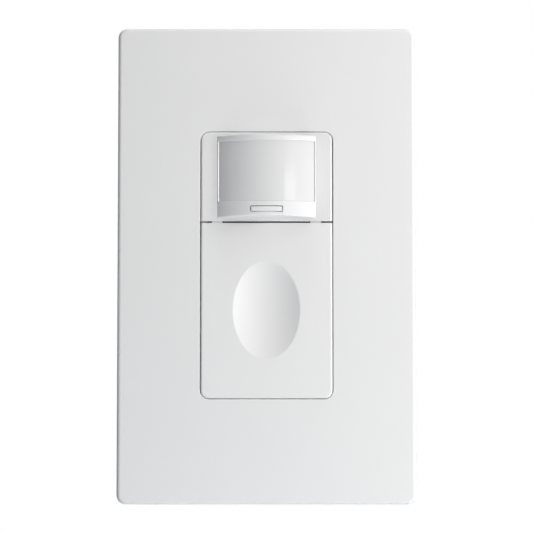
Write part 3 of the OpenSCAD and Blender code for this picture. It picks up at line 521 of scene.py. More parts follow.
def finish_piece(piece, material, body, slot, *nodes):
    """Smooths a piece, brings it to metres and sets it on its body."""
    edit(piece)
    bpy.ops.mesh.select_all(action="SELECT")
    bpy.ops.mesh.dissolve_degenerate(threshold=SLIVER)
    stop_editing()
    piece.scale = (MM, MM, MM)
    settle(piece)
    bpy.ops.object.shade_smooth_by_angle(angle=SMOOTH_ANGLE)
    even = piece.modifiers.new("even", "WEIGHTED_NORMAL")
    even.keep_sharp = True
    bpy.ops.object.modifier_apply(modifier="even")
    piece.data.materials.clear()
    piece.data.materials.append(material)
    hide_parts(*nodes)
    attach(piece, body)
    return piece


# Shared surface effects

def new_group(name, inputs, outputs):
    tree = bpy.data.node_groups.new(name, "ShaderNodeTree")
    for label, value in inputs:
        socket = tree.interface.new_socket(
            name=label, in_out="INPUT", socket_type="NodeSocketFloat")
        socket.default_value = value
    for label in outputs:
        tree.interface.new_socket(name=label, in_out="OUTPUT", socket_type="NodeSocketFloat")
    return tree, tree.nodes.new("NodeGroupInput"), tree.nodes.new("NodeGroupOutput")


def feed(tree, value, socket):
    """Gives a socket a number or another socket's value."""
    if isinstance(value, (int, float)):
        socket.default_value = value
    else:
        tree.links.new(value, socket)


def math_node(tree, operation, a, b):
    node = tree.nodes.new("ShaderNodeMath")
    node.operation = operation
    feed(tree, a, node.inputs[0])
    feed(tree, b, node.inputs[1])
    return node.outputs[0]


def noise(tree, vector, scale, detail, roughness=0.5):
    node = tree.nodes.new("ShaderNodeTexNoise")
    tree.links.new(vector, node.inputs["Vector"])
    feed(tree, scale, node.inputs["Scale"])
    node.inputs["Detail"].default_value = detail
    node.inputs["Roughness"].default_value = roughness
    return node.outputs["Fac"]


def stretched(tree, vector, scale):
    node = tree.nodes.new("ShaderNodeMapping")
    tree.links.new(vector, node.inputs["Vector"])
    node.inputs["Scale"].default_value = scale
    return node.outputs["Vector"]


def make_moulded_grain():
    """Fine tool texture, the slow ripple of a moulded wall and a faint change of tone."""
    tree, given, result = new_group(
        "moulded_grain", [("Grain Scale", 5000.0), ("Ripple", 0.3)], ["Height", "Tone"])
    place = tree.nodes.new("ShaderNodeTexCoord").outputs["Object"]
    fine = noise(tree, place, given.outputs["Grain Scale"], detail=2.0, roughness=0.6)
    slow = noise(tree, place, scale=420.0, detail=1.0)
    ripple = math_node(tree, "MULTIPLY", slow, given.outputs["Ripple"])
    tone = noise(tree, place, scale=55.0, detail=3.0, roughness=0.55)
    tree.links.new(math_node(tree, "ADD", fine, ripple), result.inputs["Height"])
    tree.links.new(tone, result.inputs["Tone"])
    return tree


def make_plated_metal():
    """Cloudy plating with drawing marks along the piece's height."""
    tree, given, result = new_group(
        "plated_metal", [("Cloud Scale", 350.0), ("Mark Scale", 90.0)], ["Cloud", "Marks"])
    place = tree.nodes.new("ShaderNodeTexCoord").outputs["Object"]
    cell = tree.nodes.new("ShaderNodeTexVoronoi")
    tree.links.new(place, cell.inputs["Vector"])
    tree.links.new(given.outputs["Cloud Scale"], cell.inputs["Scale"])
    soft = noise(tree, place, scale=600.0, detail=3.0, roughness=0.6)
    cell_share = math_node(tree, "MULTIPLY", cell.outputs["Distance"], 0.5)
    soft_share = math_node(tree, "MULTIPLY", soft, 0.6)
    tree.links.new(math_node(tree, "ADD", cell_share, soft_share), result.inputs["Cloud"])
    lines = stretched(tree, place, scale=(60.0, 60.0, 1.5))
    marks = noise(tree, lines, given.outputs["Mark Scale"], detail=2.0, roughness=0.6)
    tree.links.new(marks, result.inputs["Marks"])
    return tree


MOULDED_GRAIN = make_moulded_grain()
PLATED_METAL = make_plated_metal()


def new_material(name):
    material = bpy.data.materials.new(name)
    material.use_nodes = True
    tree = material.node_tree
    return material, tree, tree.nodes["Principled BSDF"]


def place_group(tree, group, **values):
    node = tree.nodes.new("ShaderNodeGroup")
    node.node_tree = group
    for label, value in values.items():
        node.inputs[label.replace("_", " ")].default_value = value
    return node


def between(tree, factor, low, high):
    node = tree.nodes.new("ShaderNodeMapRange")
    tree.links.new(factor, node.inputs["Value"])
    node.inputs["From Min"].default_value = NOISE_LOW
    node.inputs["From Max"].default_value = NOISE_HIGH
    node.inputs["To Min"].default_value = low
    node.inputs["To Max"].default_value = high
    return node.outputs["Result"]


def blend_colours(tree, factor, low, high):
    node = tree.nodes.new("ShaderNodeMix")
    node.data_type = "RGBA"
    tree.links.new(factor, node.inputs["Factor"])
    node.inputs[MIX_LOW].default_value = (*low, 1)
    node.inputs[MIX_HIGH].default_value = (*high, 1)
    return node.outputs[MIX_RESULT]


def bump(tree, height, shader, strength, distance):
    node = tree.nodes.new("ShaderNodeBump")
    node.inputs["Strength"].default_value = strength
    node.inputs["Distance"].default_value = distance
    tree.links.new(height, node.inputs["Height"])
    tree.links.new(node.outputs["Normal"], shader.inputs["Normal"])


def plastic(name, colour, rough, grain, relief, vary=0.012, ripple=0.3, coat=0.0, shine=0.5):
    """A moulded plastic: grain in 1/m, relief in metres."""
    rough_spread = 0.03
    material, tree, shader = new_material(name)
    surface = place_group(tree, MOULDED_GRAIN, Grain_Scale=grain, Ripple=ripple)
    tone = surface.outputs["Tone"]
    darker = [c * (1 - vary) for c in colour]
    lighter = [min(1, c * (1 + vary)) for c in colour]
    gloss = between(tree, tone, rough - rough_spread, rough + rough_spread)
    tree.links.new(blend_colours(tree, tone, darker, lighter), shader.inputs["Base Color"])
    tree.links.new(gloss, shader.inputs["Roughness"])
    bump(tree, surface.outputs["Height"], shader, strength=0.35, distance=relief)
    shader.inputs["Specular IOR Level"].default_value = shine
    if coat:
        shader.inputs["Coat Weight"].default_value = coat
        shader.inputs["Coat Roughness"].default_value = 0.06
    return material


def metal(name, low, high, rough):
    """A plated or plain metal: clouds in its colour and gloss, drawing marks in its relief."""
    rough_spread = 0.07
    material, tree, shader = new_material(name)
    surface = place_group(tree, PLATED_METAL)
    cloud = surface.outputs["Cloud"]
    gloss = between(tree, cloud, rough - rough_spread, rough + rough_spread)
    tree.links.new(blend_colours(tree, cloud, low, high), shader.inputs["Base Color"])
    tree.links.new(gloss, shader.inputs["Roughness"])
    shader.inputs["Metallic"].default_value = 1.0
    bump(tree, surface.outputs["Marks"], shader, strength=0.25, distance=20e-6)
    return material


PLATE_WHITE = plastic("plate_white", (0.824, 0.822, 0.822), rough=0.42, grain=5200,
                      relief=20e-6, shine=0.35)
FACE_WHITE = plastic("face_white", (0.84, 0.838, 0.838), rough=0.36, grain=6000,
                     relief=15e-6, shine=0.35)
LENS_WHITE = plastic("lens_milky", (0.8, 0.8, 0.8), rough=0.07, grain=2500,
                     relief=2e-6, vary=0.006, ripple=1.0)
STATUS_WHITE = plastic("status_milky", (0.852, 0.852, 0.852), rough=0.12, grain=2500,
                       relief=2e-6, vary=0.006, ripple=1.0)
BLACK = plastic("black_plastic", (0.02, 0.02, 0.022), rough=0.5, grain=3500,
                relief=30e-6, vary=0.15)
HOUSING_BLACK = plastic("housing_textured", (0.022, 0.022, 0.024), rough=0.58, grain=2200,
                        relief=90e-6, vary=0.2)
GREY = plastic("grey_plastic", (0.12, 0.12, 0.13), rough=0.5, grain=3500,
               relief=30e-6, vary=0.08)
BLUE = plastic("trimmer_blue", (0.03, 0.075, 0.25), rough=0.48, grain=3500,
               relief=30e-6, vary=0.1)
DIAL = plastic("dial_white", (0.66, 0.66, 0.62), rough=0.45, grain=4000,
               relief=30e-6, vary=0.04)
FIBRE = plastic("pressed_fibre", (0.055, 0.045, 0.038), rough=0.8, grain=900,
                relief=120e-6, vary=0.35, ripple=0.6)
BOARD = plastic("solder_mask", (0.01, 0.085, 0.03), rough=0.32, grain=1500,
                relief=30e-6, vary=0.25, ripple=0.8, coat=0.3)
CERAMIC = plastic("photocell_ceramic", (0.45, 0.17, 0.08), rough=0.3, grain=2500,
                  relief=20e-6, vary=0.12, ripple=0.3, coat=0.6)
TINTED = plastic("led_tinted", (0.2, 0.5, 0.2), rough=0.18, grain=2000,
                 relief=5e-6, vary=0.03)
RELAY_BLUE = plastic("relay_blue", (0.012, 0.05, 0.2), rough=0.45, grain=3000,
                     relief=40e-6, vary=0.1)
FILM = plastic("film_yellow", (0.42, 0.25, 0.02), rough=0.28, grain=1200,
               relief=30e-6, vary=0.12, ripple=0.8, coat=0.3)
SLEEVE = plastic("shrunk_sleeve", (0.01, 0.012, 0.05), rough=0.3, grain=900,
                 relief=20e-6, vary=0.12, ripple=0.9)
DIPPED = plastic("dipped_coat", (0.02, 0.06, 0.24), rough=0.3, grain=800,
                 relief=50e-6, vary=0.15, ripple=1.0, coat=0.3)
RESISTOR = plastic("flameproof_coat", (0.1, 0.19, 0.15), rough=0.7, grain=2600,
                   relief=60e-6, vary=0.15)
ZINC = metal("zinc_plate", (0.5, 0.515, 0.54), (0.68, 0.69, 0.7), rough=0.32)
GREEN_ZINC = metal("green_dyed_plate", (0.02, 0.17, 0.06), (0.05, 0.3, 0.12), rough=0.34)
BRASS = metal("brass", (0.52, 0.34, 0.1), (0.68, 0.47, 0.17), rough=0.3)


# Cover plate: one skin from the wall round the front edge into the window and back

def plate_ring(inset, y):
    half_h = PLATE_HALF_H - inset
    r = max(PLATE_CORNER_LEAST, PLATE_CORNER - inset)
    return (outline, PLATE_HALF_W - inset, -half_h, half_h, y, r, r)


def window_ring(grow, y):
    half_h = WINDOW_HALF_H + grow
    r = WINDOW_CORNER + grow
    return (outline, WINDOW_HALF_W + grow, -half_h, half_h, y, r, r)


def make_wall_plate():
    edge_start = PLATE_FRONT + PLATE_EDGE
    ceiling = PLATE_FRONT + PLATE_WALL
    rings = [plate_ring(0, 0)]
    rings += [plate_ring(inset, edge_start - out) for inset, out in fillet(PLATE_EDGE)]
    rings.append(plate_ring(PLATE_EDGE + PLATE_HOLD, PLATE_FRONT))
    rings.append(window_ring(WINDOW_EDGE + EDGE_HOLD, PLATE_FRONT))
    rings += [window_ring(WINDOW_EDGE - out, PLATE_FRONT + inset)
              for inset, out in fillet(WINDOW_EDGE)]
    rings.append(window_ring(0, ceiling))
    rings.append(plate_ring(PLATE_WALL, ceiling))
    rings.append(plate_ring(PLATE_WALL, 0))
    plate = loft("cover_plate", rings, closed=True)

    notch = block("pry_notch", (-NOTCH_HALF, -NOTCH_DEEP, NOTCH_LOW),
                  (NOTCH_HALF, PAST, NOTCH_HIGH))
    soften(notch, NOTCH_ROUND, lambda m: m.y < 0 and abs(m.x) > NOTCH_HALF - ON_EDGE, steps=3)
    cut_from(plate, notch)
    for z in LEDGE_PLACES:
        ledge = block("snap_ledge", (LEDGE_IN, LEDGE_FRONT, z - LEDGE_HALF),
                      (LEDGE_OUT, LEDGE_BACK, z + LEDGE_HALF))
        edit(ledge)
        pick("VERT", lambda v: near(v.co, (LEDGE_IN, LEDGE_BACK, v.co.z)))
        bpy.ops.transform.translate(value=(LEDGE_SLOPE, 0, 0))
        stop_editing()
        add_to(plate, mirrored(ledge), ledge)
    return finish_piece(plate, PLATE_WHITE, "switch", "plate_plastic", "wall_plate")


# Skirt behind the panel or the button

def make_skirt(half_w, low, high, back, room_low, room_high):
    root = FACE_BACK - SKIRT_ROOT
    inner = half_w - SKIRT_WALL
    skirt = block("skirt", (-half_w, root, low), (half_w, back, high))
    room = block("skirt_room", (-inner, root - PAST, room_low), (inner, back + PAST, room_high))
    cut_from(skirt, room)
    soften(skirt, SKIRT_ROUND)
    return skirt


# Sensor panel: a rounded face plate with the curved hood, its lens opening and the status hole

def panel_ring(inset, low_inset, y):
    r = FACE_CORNER - inset
    return (outline, FACE_HALF_W - inset, PANEL_LOW + low_inset, FACE_HIGH - inset, y,
            r, SPLIT_CORNER)


def make_hood():
    """The hood as a full block, with its sloping underside and rounded front edges."""
    hood = hood_block("hood", HOOD_R, HOOD_HALF, HOOD_LOW - HOOD_SPARE, HOOD_HIGH, HOOD_BACK)
    edit(hood)
    slice_off((0, FACE_FRONT, HOOD_LOW), (0, -math.sin(HOOD_SLOPE), -math.cos(HOOD_SLOPE)))
    stop_editing()
    soften(hood, HOOD_ROUND, lambda m: m.y < HOOD_PROUD and abs(m.x) < HOOD_HALF - ON_EDGE,
           steps=4)
    soften(hood, HOOD_SIDE_ROUND, lambda m: m.y < HOOD_PROUD)
    return hood


def rail_slope(side):
    """A tool that slopes the inner edge of the rail on one side of the lens."""
    x = OPENING_HALF + RAIL_SLOPE / 2
    y = HOOD_CENTRE - math.sqrt(HOOD_R ** 2 - x ** 2)
    tool = block("rail_slope", (-RAIL_TOOL, -RAIL_TOOL, OPENING_LOW + RAIL_END),
                 (RAIL_TOOL, 0, OPENING_HIGH - RAIL_END))
    tool.rotation_euler.z = -side * RAIL_TURN
    tool.location = (side * x, y + RAIL_SLOPE / 2, 0)
    settle(tool)
    return tool


def cut_openings(panel):
    """Cuts the chamber, the lens opening, the status hole and room for the hinge tabs."""
    chamber = hood_block("chamber", HOOD_R - HOOD_WALL, CHAMBER_HALF, CHAMBER_LOW, CHAMBER_HIGH,
                         FACE_BACK + PAST)
    lens_room = block("lens_room", (-OPENING_HALF, FAR_FRONT, OPENING_LOW),
                      (OPENING_HALF, FACE_FRONT, OPENING_HIGH))
    status_room = loft("status_room", [
        (outline, STATUS_HALF, STATUS_LOW, STATUS_HIGH, y, STATUS_CORNER, STATUS_CORNER)
        for y in (FAR_FRONT, FACE_FRONT)])
    cut_from(panel, chamber, lens_room, status_room)
    for side in BOTH_SIDES:
        middle = side * TAB_X
        tab_room = block("tab_room", (middle - TAB_ROOM_HALF, TAB_ROOM_FRONT, TAB_LOW),
                         (middle + TAB_ROOM_HALF, 0, HINGE_Z))
        cut_from(panel, tab_room)


def on_hood_front(m):
    return abs(math.hypot(m.x, m.y - HOOD_CENTRE) - HOOD_R) < ON_EDGE


def on_opening(m):
    at_side = abs(abs(m.x) - OPENING_HALF) < ON_EDGE and OPENING_LOW < m.z < OPENING_HIGH
    to_end = min(abs(m.z - OPENING_LOW), abs(m.z - OPENING_HIGH))
    at_end = to_end < ON_EDGE and abs(m.x) < OPENING_HALF
    return on_hood_front(m) and (at_side or at_end)


def on_status_hole(m):
    across = abs(m.x) < STATUS_HALF + ON_EDGE
    return (on_hood_front(m) and across
            and STATUS_LOW - ON_EDGE < m.z < STATUS_HIGH + ON_EDGE)


def make_sensor_panel():
    rings = [panel_ring(0, 0, FACE_BACK)]
    rings += [panel_ring(inset, SPLIT_SHARE * inset, FACE_FRONT + FACE_EDGE - out)
              for inset, out in fillet(FACE_EDGE)]
    rings.append(panel_ring(FACE_EDGE + EDGE_HOLD, SPLIT_EDGE + EDGE_HOLD, FACE_FRONT))
    panel = loft("sensor_face", rings)
    skirt = make_skirt(PANEL_SKIRT_HALF, OPENING_LOW, PANEL_SKIRT_HIGH, PANEL_SKIRT_BACK,
                       OPENING_LOW - PAST, PANEL_SKIRT_HIGH - SKIRT_WALL)
    add_to(panel, make_hood(), skirt)
    cut_openings(panel)
    soften(panel, OPENING_ROUND, on_opening)
    cut_from(panel, rail_slope(-1), rail_slope(1))
    soften(panel, STATUS_ROUND, on_status_hole)
    return finish_piece(panel, FACE_WHITE, "switch", "face_plastic", "sensor_panel")


def make_status_window():
    half = STATUS_HALF - STATUS_END_GAP
    high = STATUS_HIGH - STATUS_GAP
    corner = STATUS_CORNER - STATUS_GAP
    window = loft("status_light", [
        (outline, half, STATUS_LOW + STATUS_GAP, high, y, corner, corner)
        for y in (LIGHT_FRONT, LIGHT_BACK)])
    front = hood_block("front", HOOD_R - LIGHT_SINK, STATUS_HALF + PAST, STATUS_LOW - PAST,
                       STATUS_HIGH + PAST, FACE_FRONT - PAST)
    combine(window, front, "INTERSECT")
    soften(window, LIGHT_ROUND, lambda m: m.y < LIGHT_EDGE, steps=3)
    flange = hood_block("flange", HOOD_R - HOOD_WALL, FLANGE_HALF, FLANGE_LOW, high, FLANGE_BACK)
    pipe = block("pipe", (-PIPE_HALF, PIPE_FRONT, FLANGE_LOW), (PIPE_HALF, PIPE_BACK, high))
    soften(pipe, PIPE_ROUND)
    add_to(window, flange, pipe)
    return finish_piece(window, STATUS_WHITE, "switch", "lens_plastic", "status_window")


# Button: a rounded face with an oval dish, on a skirt with hinge tabs, pins, hooks and a post

def button_ring(inset, top_inset, y):
    r = FACE_CORNER - inset
    return (outline, FACE_HALF_W - inset, FACE_LOW + inset, BUTTON_TOP - top_inset, y,
            SPLIT_CORNER, r)


def dish_ring(share, half_w, half_h, y):
    """A ring at a share of the way out from the middle of the dish or its bulge."""
    return (oval, half_w * share, half_h * share, y + DISH_DEPTH * (1 - share * share), DISH_Z)


def make_button():
    rings = [dish_ring(share, BULGE_HALF_W, BULGE_HALF_H, FACE_BACK) for share in BULGE_SHARES]
    rings.append(button_ring(0, 0, FACE_BACK))
    rings += [button_ring(inset, SPLIT_SHARE * inset, FACE_FRONT + FACE_EDGE - out)
              for inset, out in fillet(FACE_EDGE)]
    rings.append(button_ring(FACE_EDGE + EDGE_HOLD, SPLIT_EDGE + EDGE_HOLD, FACE_FRONT))
    rings += [(oval, DISH_HALF_W + grow, DISH_HALF_H + grow, FACE_FRONT + sink, DISH_Z)
              for grow, sink in DISH_RIM]
    for i in range(1, DISH_STEPS):
        inward = i / DISH_STEPS
        share = max(1 - inward * inward - DISH_LEAN * inward - DISH_LIP, DISH_LEAST)
        rings.append(dish_ring(share, DISH_HALF_W, DISH_HALF_H, FACE_FRONT))
    button = loft("press_button", rings)

    skirt = make_skirt(BUTTON_SKIRT_HALF, BUTTON_SKIRT_LOW, BUTTON_SKIRT_HIGH, BUTTON_SKIRT_BACK,
                       BUTTON_SKIRT_LOW + SKIRT_WALL, BUTTON_SKIRT_HIGH + PAST)
    post = rod("post", POST_R, (0, POST_FRONT, POST_Z), (0, POST_BACK, POST_Z), "Y")
    soften(post, POST_ROUND, lambda m: m.y > POST_BACK - POST_ROUND)
    add_to(button, skirt, post)
    for side in BOTH_SIDES:
        middle = side * TAB_X
        tab = block("tab", (middle - TAB_HALF, TAB_FRONT, TAB_LOW),
                    (middle + TAB_HALF, HINGE_Y, TAB_HIGH))
        soften(tab, TAB_ROUND, lambda m: m.z > TAB_HIGH - TAB_ROUND)
        knuckle = rod("knuckle", KNUCKLE_R, (middle - TAB_HALF, HINGE_Y, HINGE_Z),
                      (middle + TAB_HALF, HINGE_Y, HINGE_Z), "X")
        pin = rod("pin", PIN_R, (middle, HINGE_Y, HINGE_Z),
                  (side * PIN_END, HINGE_Y, HINGE_Z), "X")
        hook = block("hook",
                     (side * HOOK_X - HOOK_HALF, HOOK_FRONT, BUTTON_SKIRT_LOW - HOOK_REACH),
                     (side * HOOK_X + HOOK_HALF, BUTTON_SKIRT_BACK, BUTTON_SKIRT_LOW + HOOK_ROOT))
        add_to(button, tab, knuckle, pin, hook)
    return finish_piece(button, FACE_WHITE, "press_button", "face_plastic", "button")


# Screws with cut threads

def screw_head(r, h):
    """A domed head with a cross recess, standing on z = 0."""
    dome = HEAD_DOME * r

    def dome_height(x):
        return h - dome + math.sqrt(dome * dome - x * x)

    rings = [(circle, r - HEAD_EDGE, 0), (circle, r, HEAD_EDGE)]
    rings.append((circle, r, max(HEAD_SIDE_LEAST, dome_height(r) - DOME_DROP)))
    for i in range(1, DOME_STEPS):
        x = r * (1 - i / DOME_STEPS) if i < DOME_STEPS - 1 else DOME_CAP * r
        x = min(x, r - DOME_INSET)
        rings.append((circle, x, dome_height(x)))
    head = loft("head", rings)
    for wide, deep in ((RECESS_LONG, RECESS_SLIM), (RECESS_SLIM, RECESS_LONG)):
        recess = block("recess", (-wide * r / 2, -deep * r / 2, RECESS_FLOOR * h),
                       (wide * r / 2, deep * r / 2, 2 * h))
        edit(recess)
        pick("VERT", lambda v: v.co.z < h)
        bpy.ops.transform.resize(value=(RECESS_TAPER, RECESS_TAPER, 1), center_override=(0, 0, 0))
        stop_editing()
        cut_from(head, recess)
    return head


def threaded_screw(name, r, length, head_r, head_h, pitch, neck_r=0.0, neck_l=0.0):
    """A screw along z with its head's seat on z = 0 and its thread below."""
    core = r - THREAD_DEPTH * pitch
    turns = math.ceil((length - neck_l) / pitch) + 2
    screw = start(name)
    bpy.ops.mesh.primitive_plane_add(size=1)
    bpy.ops.mesh.merge(type="CENTER")
    bpy.ops.transform.translate(value=(core, 0, -length - pitch))
    for out, up in ((r - core, THREAD_FLANK), (0, THREAD_CREST),
                    (core - r, THREAD_FLANK), (0, THREAD_CREST)):
        bpy.ops.mesh.extrude_region_move(TRANSFORM_OT_translate={"value": (out, 0, up * pitch)})
    stop_editing()
    turning = screw.modifiers.new("thread", "SCREW")
    turning.angle = 2 * math.pi
    turning.screw_offset = pitch
    turning.iterations = turns
    turning.steps = THREAD_STEPS
    turning.render_steps = THREAD_STEPS
    turning.use_merge_vertices = True
    turning.merge_threshold = MERGE_REACH
    bpy.ops.object.modifier_apply(modifier="thread")
    edit(screw)
    bpy.ops.mesh.select_all(action="SELECT")
    bpy.ops.mesh.remove_doubles(threshold=MERGE_REACH)
    face_outward()
    slice_off((0, 0, -length), (0, 0, -1))
    slice_off((0, 0, -neck_l if neck_l else HEAD_ROOT * head_h), (0, 0, 1))
    face_outward()
    stop_editing()
    if neck_l:
        neck = rod("neck", neck_r, (0, 0, -neck_l - NECK_LAP), (0, 0, HEAD_ROOT * head_h), "Z")
        add_to(screw, neck)
    add_to(screw, screw_head(head_r, head_h))
    return screw


def set_screws(screw, places, turn, material, slot, node):
    """Copies of a screw at its places, each turned its way, as one piece."""
    copies = []
    for i, place in enumerate(places):
        copy = copy_of(screw.data, f"{screw.name}_{i}")
        copy.location = place
        copy.rotation_euler = turn(place)
        settle(copy)
        copies.append(copy)
    clear_selection()
    for copy in copies:
        copy.select_set(True)
    bpy.context.view_layer.objects.active = copies[0]
    bpy.ops.object.join()
    name = screw.name
    bpy.data.objects.remove(screw)
    return finish_piece(named(name), material, "switch", slot, node)


# Turns for a screw at a place, by where its head points

def to_front(place):
    return (QUARTER_TURN, 0, 0)


def to_back(place):
    return (-QUARTER_TURN, 0, 0)


def to_side(place):
    return (0, math.copysign(QUARTER_TURN, place[0]), 0)


def to_below(place):
    return (math.pi, 0, 0)


# Sets of screws

def make_screws():
    plate_screw = threaded_screw("plate_screws_cut", r=1.75, length=9.5, head_r=2.7, head_h=1.6,
                                 pitch=MACHINE_PITCH)
    set_screws(plate_screw, [(0, PLATE_SCREW_Y, z) for z in (PLATE_SCREW_Z, -PLATE_SCREW_Z)],
               to_front, ZINC, "zinc_steel", "plate_screws")

    box_screw = threaded_screw("box_screws_cut", r=1.75, length=25.4, head_r=3.3, head_h=1.6,
                               pitch=MACHINE_PITCH, neck_r=1.55, neck_l=1.75)
    set_screws(box_screw, [(0, BOX_SCREW_Y, z) for z in (BOX_SCREW_Z, -BOX_SCREW_Z)],
               to_front, ZINC, "zinc_steel", "box_screws")

    wire_screw = {"r": 2.0, "length": 4.6, "head_r": 3.8, "head_h": TERMINAL_HEAD_H,
                  "pitch": MACHINE_PITCH}
    low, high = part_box("ground_screw")
    y = PER_METRE * (low.y + high.y) / 2
    z = PER_METRE * low.z + TERMINAL_HEAD_H
    set_screws(threaded_screw("ground_screw_cut", **wire_screw), [(GROUND_SCREW_X, y, z)],
               to_below, GREEN_ZINC, "green_steel", "ground_screw")
    terminals = [(TERMINAL_X, TERMINAL_Y, TERMINAL_Z), (TERMINAL_X, TERMINAL_Y, -TERMINAL_Z),
                 (-TERMINAL_X, TERMINAL_Y, TERMINAL_Z)]
    set_screws(threaded_screw("terminal_screws_cut", **wire_screw), terminals,
               to_side, BRASS, "brass", "terminal_screws")

    case_screw = threaded_screw("case_screws_cut", r=1.0, length=28.95, head_r=1.9, head_h=1.3,
                                pitch=CASE_PITCH)
    corners = [(x, CASE_SCREW_Y, z) for x in (-CASE_SCREW_X, CASE_SCREW_X)
               for z in (-CASE_SCREW_Z, CASE_SCREW_Z)]
    set_screws(case_screw, corners, to_back, ZINC, "zinc_steel", "case_screws")

    low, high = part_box("board_screws")
    x = PER_METRE * high.x - BOARD_HEAD_R
    z = PER_METRE * (low.z + high.z) / 2
    board_screw = threaded_screw("board_screws_cut", r=0.9, length=4.1, head_r=BOARD_HEAD_R,
                                 head_h=0.9, pitch=BOARD_PITCH)
    set_screws(board_screw, [(-x, BOARD_SCREW_Y, z), (x, BOARD_SCREW_Y, z)],
               to_back, ZINC, "zinc_steel", "board_screws")


# Pieces that keep the solid's form, with broken edges

def eased_copy(node, edge):
    piece = copy_of(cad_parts[node].data, node + "_eased")
    piece.data.transform(Matrix.Scale(PER_METRE, 4))
    edit(piece)
    bpy.ops.mesh.customdata_custom_splitnormals_clear()
    bpy.ops.mesh.select_all(action="SELECT")
    bpy.ops.mesh.remove_doubles(threshold=MERGE_REACH)
    bpy.ops.mesh.dissolve_limited(angle_limit=FLAT_ANGLE)
    stop_editing()
    ease = piece.modifiers.new("ease", "BEVEL")
    ease.width = edge
    ease.segments = EASE_STEPS
    ease.limit_method = "ANGLE"
    ease.angle_limit = EASE_ANGLE
    ease.use_clamp_overlap = True
    take(piece)
    bpy.ops.object.modifier_apply(modifier="ease")
    return piece


def make_eased_pieces():
    made = {}
    for node, edge, material, slot in (
            ("plate_bracket", 0.12, PLATE_WHITE, "plate_plastic"),
            ("mounting_strap", 0.1, ZINC, "zinc_steel"),
            ("front_frame", 0.1, FACE_WHITE, "face_plastic"),
            ("rear_housing", 0.15, HOUSING_BLACK, "housing_plastic"),
            ("terminal_plates", 0.08, BRASS, "brass"),
            ("sensor_lens", 0.06, LENS_WHITE, "lens_plastic")):
        made[node] = finish_piece(eased_copy(node, edge), material, "switch", slot, node)
    return made


def dress_solids():
    """Materials for the solids that stay as they are."""
    for node, material in (
            ("screw_retainers", FIBRE), ("lens_retainer", BLACK), ("switch_body", BLACK),
            ("switch_plunger", GREY), ("time_trimmer", BLUE), ("light_trimmer", BLUE),
            ("time_dial", DIAL), ("light_dial", DIAL), ("mode_switch", ZINC),
            ("mode_slider", BLACK), ("control_board", BOARD), ("pir_detector", ZINC),
            ("pir_filter", BLACK), ("photocell", CERAMIC), ("status_led", TINTED),
            ("power_board", BOARD), ("relay", RELAY_BLUE), ("film_capacitor", FILM),
            ("storage_capacitor", SLEEVE), ("varistor", DIPPED), ("fuse_resistor", RESISTOR),
            ("board_link", BLACK)):
        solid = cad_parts[node]
        solid.data.materials.clear()
        solid.data.materials.append(material)


# Camera, light and floor

def make_camera():
    """A long lens square to the wall's width, looking slightly up from below the middle."""
    camera_data = bpy.data.cameras.new("camera")
    camera_data.lens = CAMERA_LENS
    camera_data.sensor_width = CAMERA_SENSOR
    camera = bpy.data.objects.new("camera", camera_data)
    bpy.context.scene.collection.objects.link(camera)
    camera.location = (0, -CAMERA_AWAY * math.cos(CAMERA_TILT),
                       -CAMERA_AWAY * math.sin(CAMERA_TILT))
    camera.rotation_euler = (QUARTER_TURN + CAMERA_TILT, 0, 0)
    bpy.context.scene.camera = camera


def soft_lamp(name, place, width, height, watts, colour=WHITE, lights=None, blocks=None):
    """An area lamp that faces the object, kept to the collections it lights and is blocked by."""
    lamp_data = bpy.data.lights.new(name, "AREA")
    lamp_data.shape = "RECTANGLE"
    lamp_data.size = width
    lamp_data.size_y = height
    lamp_data.energy = watts
    lamp_data.color = colour
    lamp = bpy.data.objects.new(name, lamp_data)
    bpy.context.scene.collection.objects.link(lamp)
    lamp.location = place
    lamp.rotation_euler = (-Vector(place)).to_track_quat("-Z", "Y").to_euler()
    lamp.visible_camera = False
    lamp.visible_glossy = False
    if lights is not None:
        lamp.light_linking.receiver_collection = lights
    if blocks is not None:
        lamp.light_linking.blocker_collection = blocks
    return lamp


def linked(name, pieces, state):
    """A collection that takes pieces into a lamp's reach or leaves them out of it."""
    group = bpy.data.collections.new(name)
    for piece in pieces:
        group.objects.link(piece)
    for member in group.collection_objects:
        member.light_linking.link_state = state
    return group


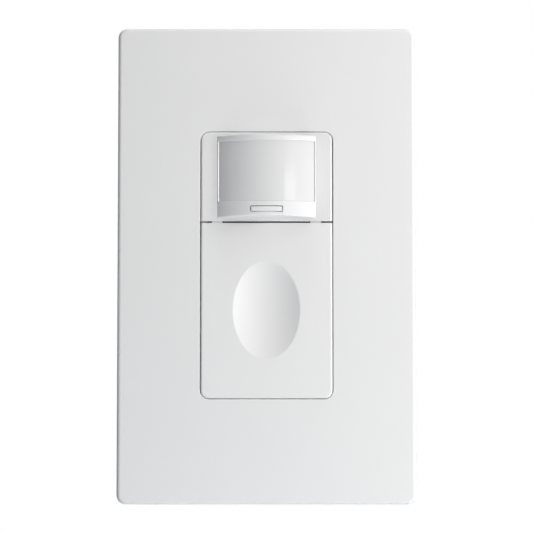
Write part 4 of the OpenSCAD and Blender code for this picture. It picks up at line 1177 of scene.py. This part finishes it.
def make_lamps(plate, panel, lens, button, status_light, floor):
    """A key from the right that the hood does not shade on the front pieces, and soft fill."""
    front = [plate, panel, lens, button]
    upper_face = [panel, lens]
    all_but_upper_face = linked("all_but_upper_face", upper_face, "EXCLUDE")
    front_key_blocks = linked("front_key_blocks", [plate, button, status_light], "INCLUDE")

    key = {"place": (0.4, -0.386, 0.055), "width": 0.3, "height": 0.46, "colour": WARM}
    soft_lamp("key_right", watts=2.98, lights=linked("key_leaves_out", front, "EXCLUDE"), **key)
    soft_lamp("key_right_on_front", watts=3.02, blocks=front_key_blocks,
              lights=linked("front_key_lights", front, "INCLUDE"), **key)
    soft_lamp("key_right_on_upper_face", watts=0.11, blocks=front_key_blocks,
              lights=linked("upper_key_lights", upper_face, "INCLUDE"), **key)
    strip = soft_lamp("strip", (0.276, -0.5, -0.08), width=0.141, height=0.34, watts=0.4,
                      colour=COOL)
    strip.visible_glossy = True
    soft_lamp("upper_right", (0.33, -0.36, 0.4), width=0.3, height=0.3, watts=0.6,
              lights=all_but_upper_face)
    soft_lamp("top", (0.06, -0.055, 0.6), width=0.4, height=0.2, watts=1.4, colour=SKY)
    low = {"place": (0.05, -0.065, -0.27), "width": 0.3, "height": 0.2,
           "blocks": all_but_upper_face}
    soft_lamp("below", watts=0.43, colour=SKY, **low)
    soft_lamp("below_hood", watts=0.12,
              lights=linked("below_hood_lights", [panel], "INCLUDE"), **low)
    soft_lamp("back", (-0.1, 0.75, 0.4), width=0.6, height=0.5, watts=6.0)
    soft_lamp("left", (-0.6, 0.15, 0.1), width=0.4, height=0.4, watts=1.0)
    soft_lamp("over_floor", (0, 0, 1.2), width=FLOOR_SIZE, height=FLOOR_SIZE, watts=26.0,
              lights=linked("over_floor_lights", [floor], "INCLUDE"))


def make_world():
    """White to the camera and in reflections, a faint room light elsewhere."""
    world = bpy.data.worlds.new("studio")
    bpy.context.scene.world = world
    world.use_nodes = True
    tree = world.node_tree
    path = tree.nodes.new("ShaderNodeLightPath").outputs
    mirror = math_node(tree, "MAXIMUM", path["Is Glossy Ray"], path["Is Transmission Ray"])
    seen = math_node(tree, "MAXIMUM", path["Is Camera Ray"], mirror)
    light = tree.nodes["Background"]
    tree.links.new(blend_colours(tree, seen, ROOM, WHITE), light.inputs["Color"])


def make_floor():
    clear_selection()
    bpy.ops.mesh.primitive_grid_add(
        x_subdivisions=FLOOR_CELLS, y_subdivisions=FLOOR_CELLS, size=FLOOR_SIZE,
        location=(0, 0, FLOOR_Z))
    floor = named("pale_floor")
    settle(floor)
    floor.data.materials.append(plastic("pale_floor", (0.82, 0.82, 0.82), rough=0.7, grain=300,
                                        relief=100e-6, vary=0.01))
    floor.visible_diffuse = False
    return floor


make_camera()
floor = make_floor()
plate = make_wall_plate()
panel = make_sensor_panel()
status_light = make_status_window()
button = make_button()
make_screws()
lens = make_eased_pieces()["sensor_lens"]
dress_solids()
panel.visible_diffuse = False
make_lamps(plate, panel, lens, button, status_light, floor)
make_world()
bpy.context.scene.view_settings.view_transform = "Standard"
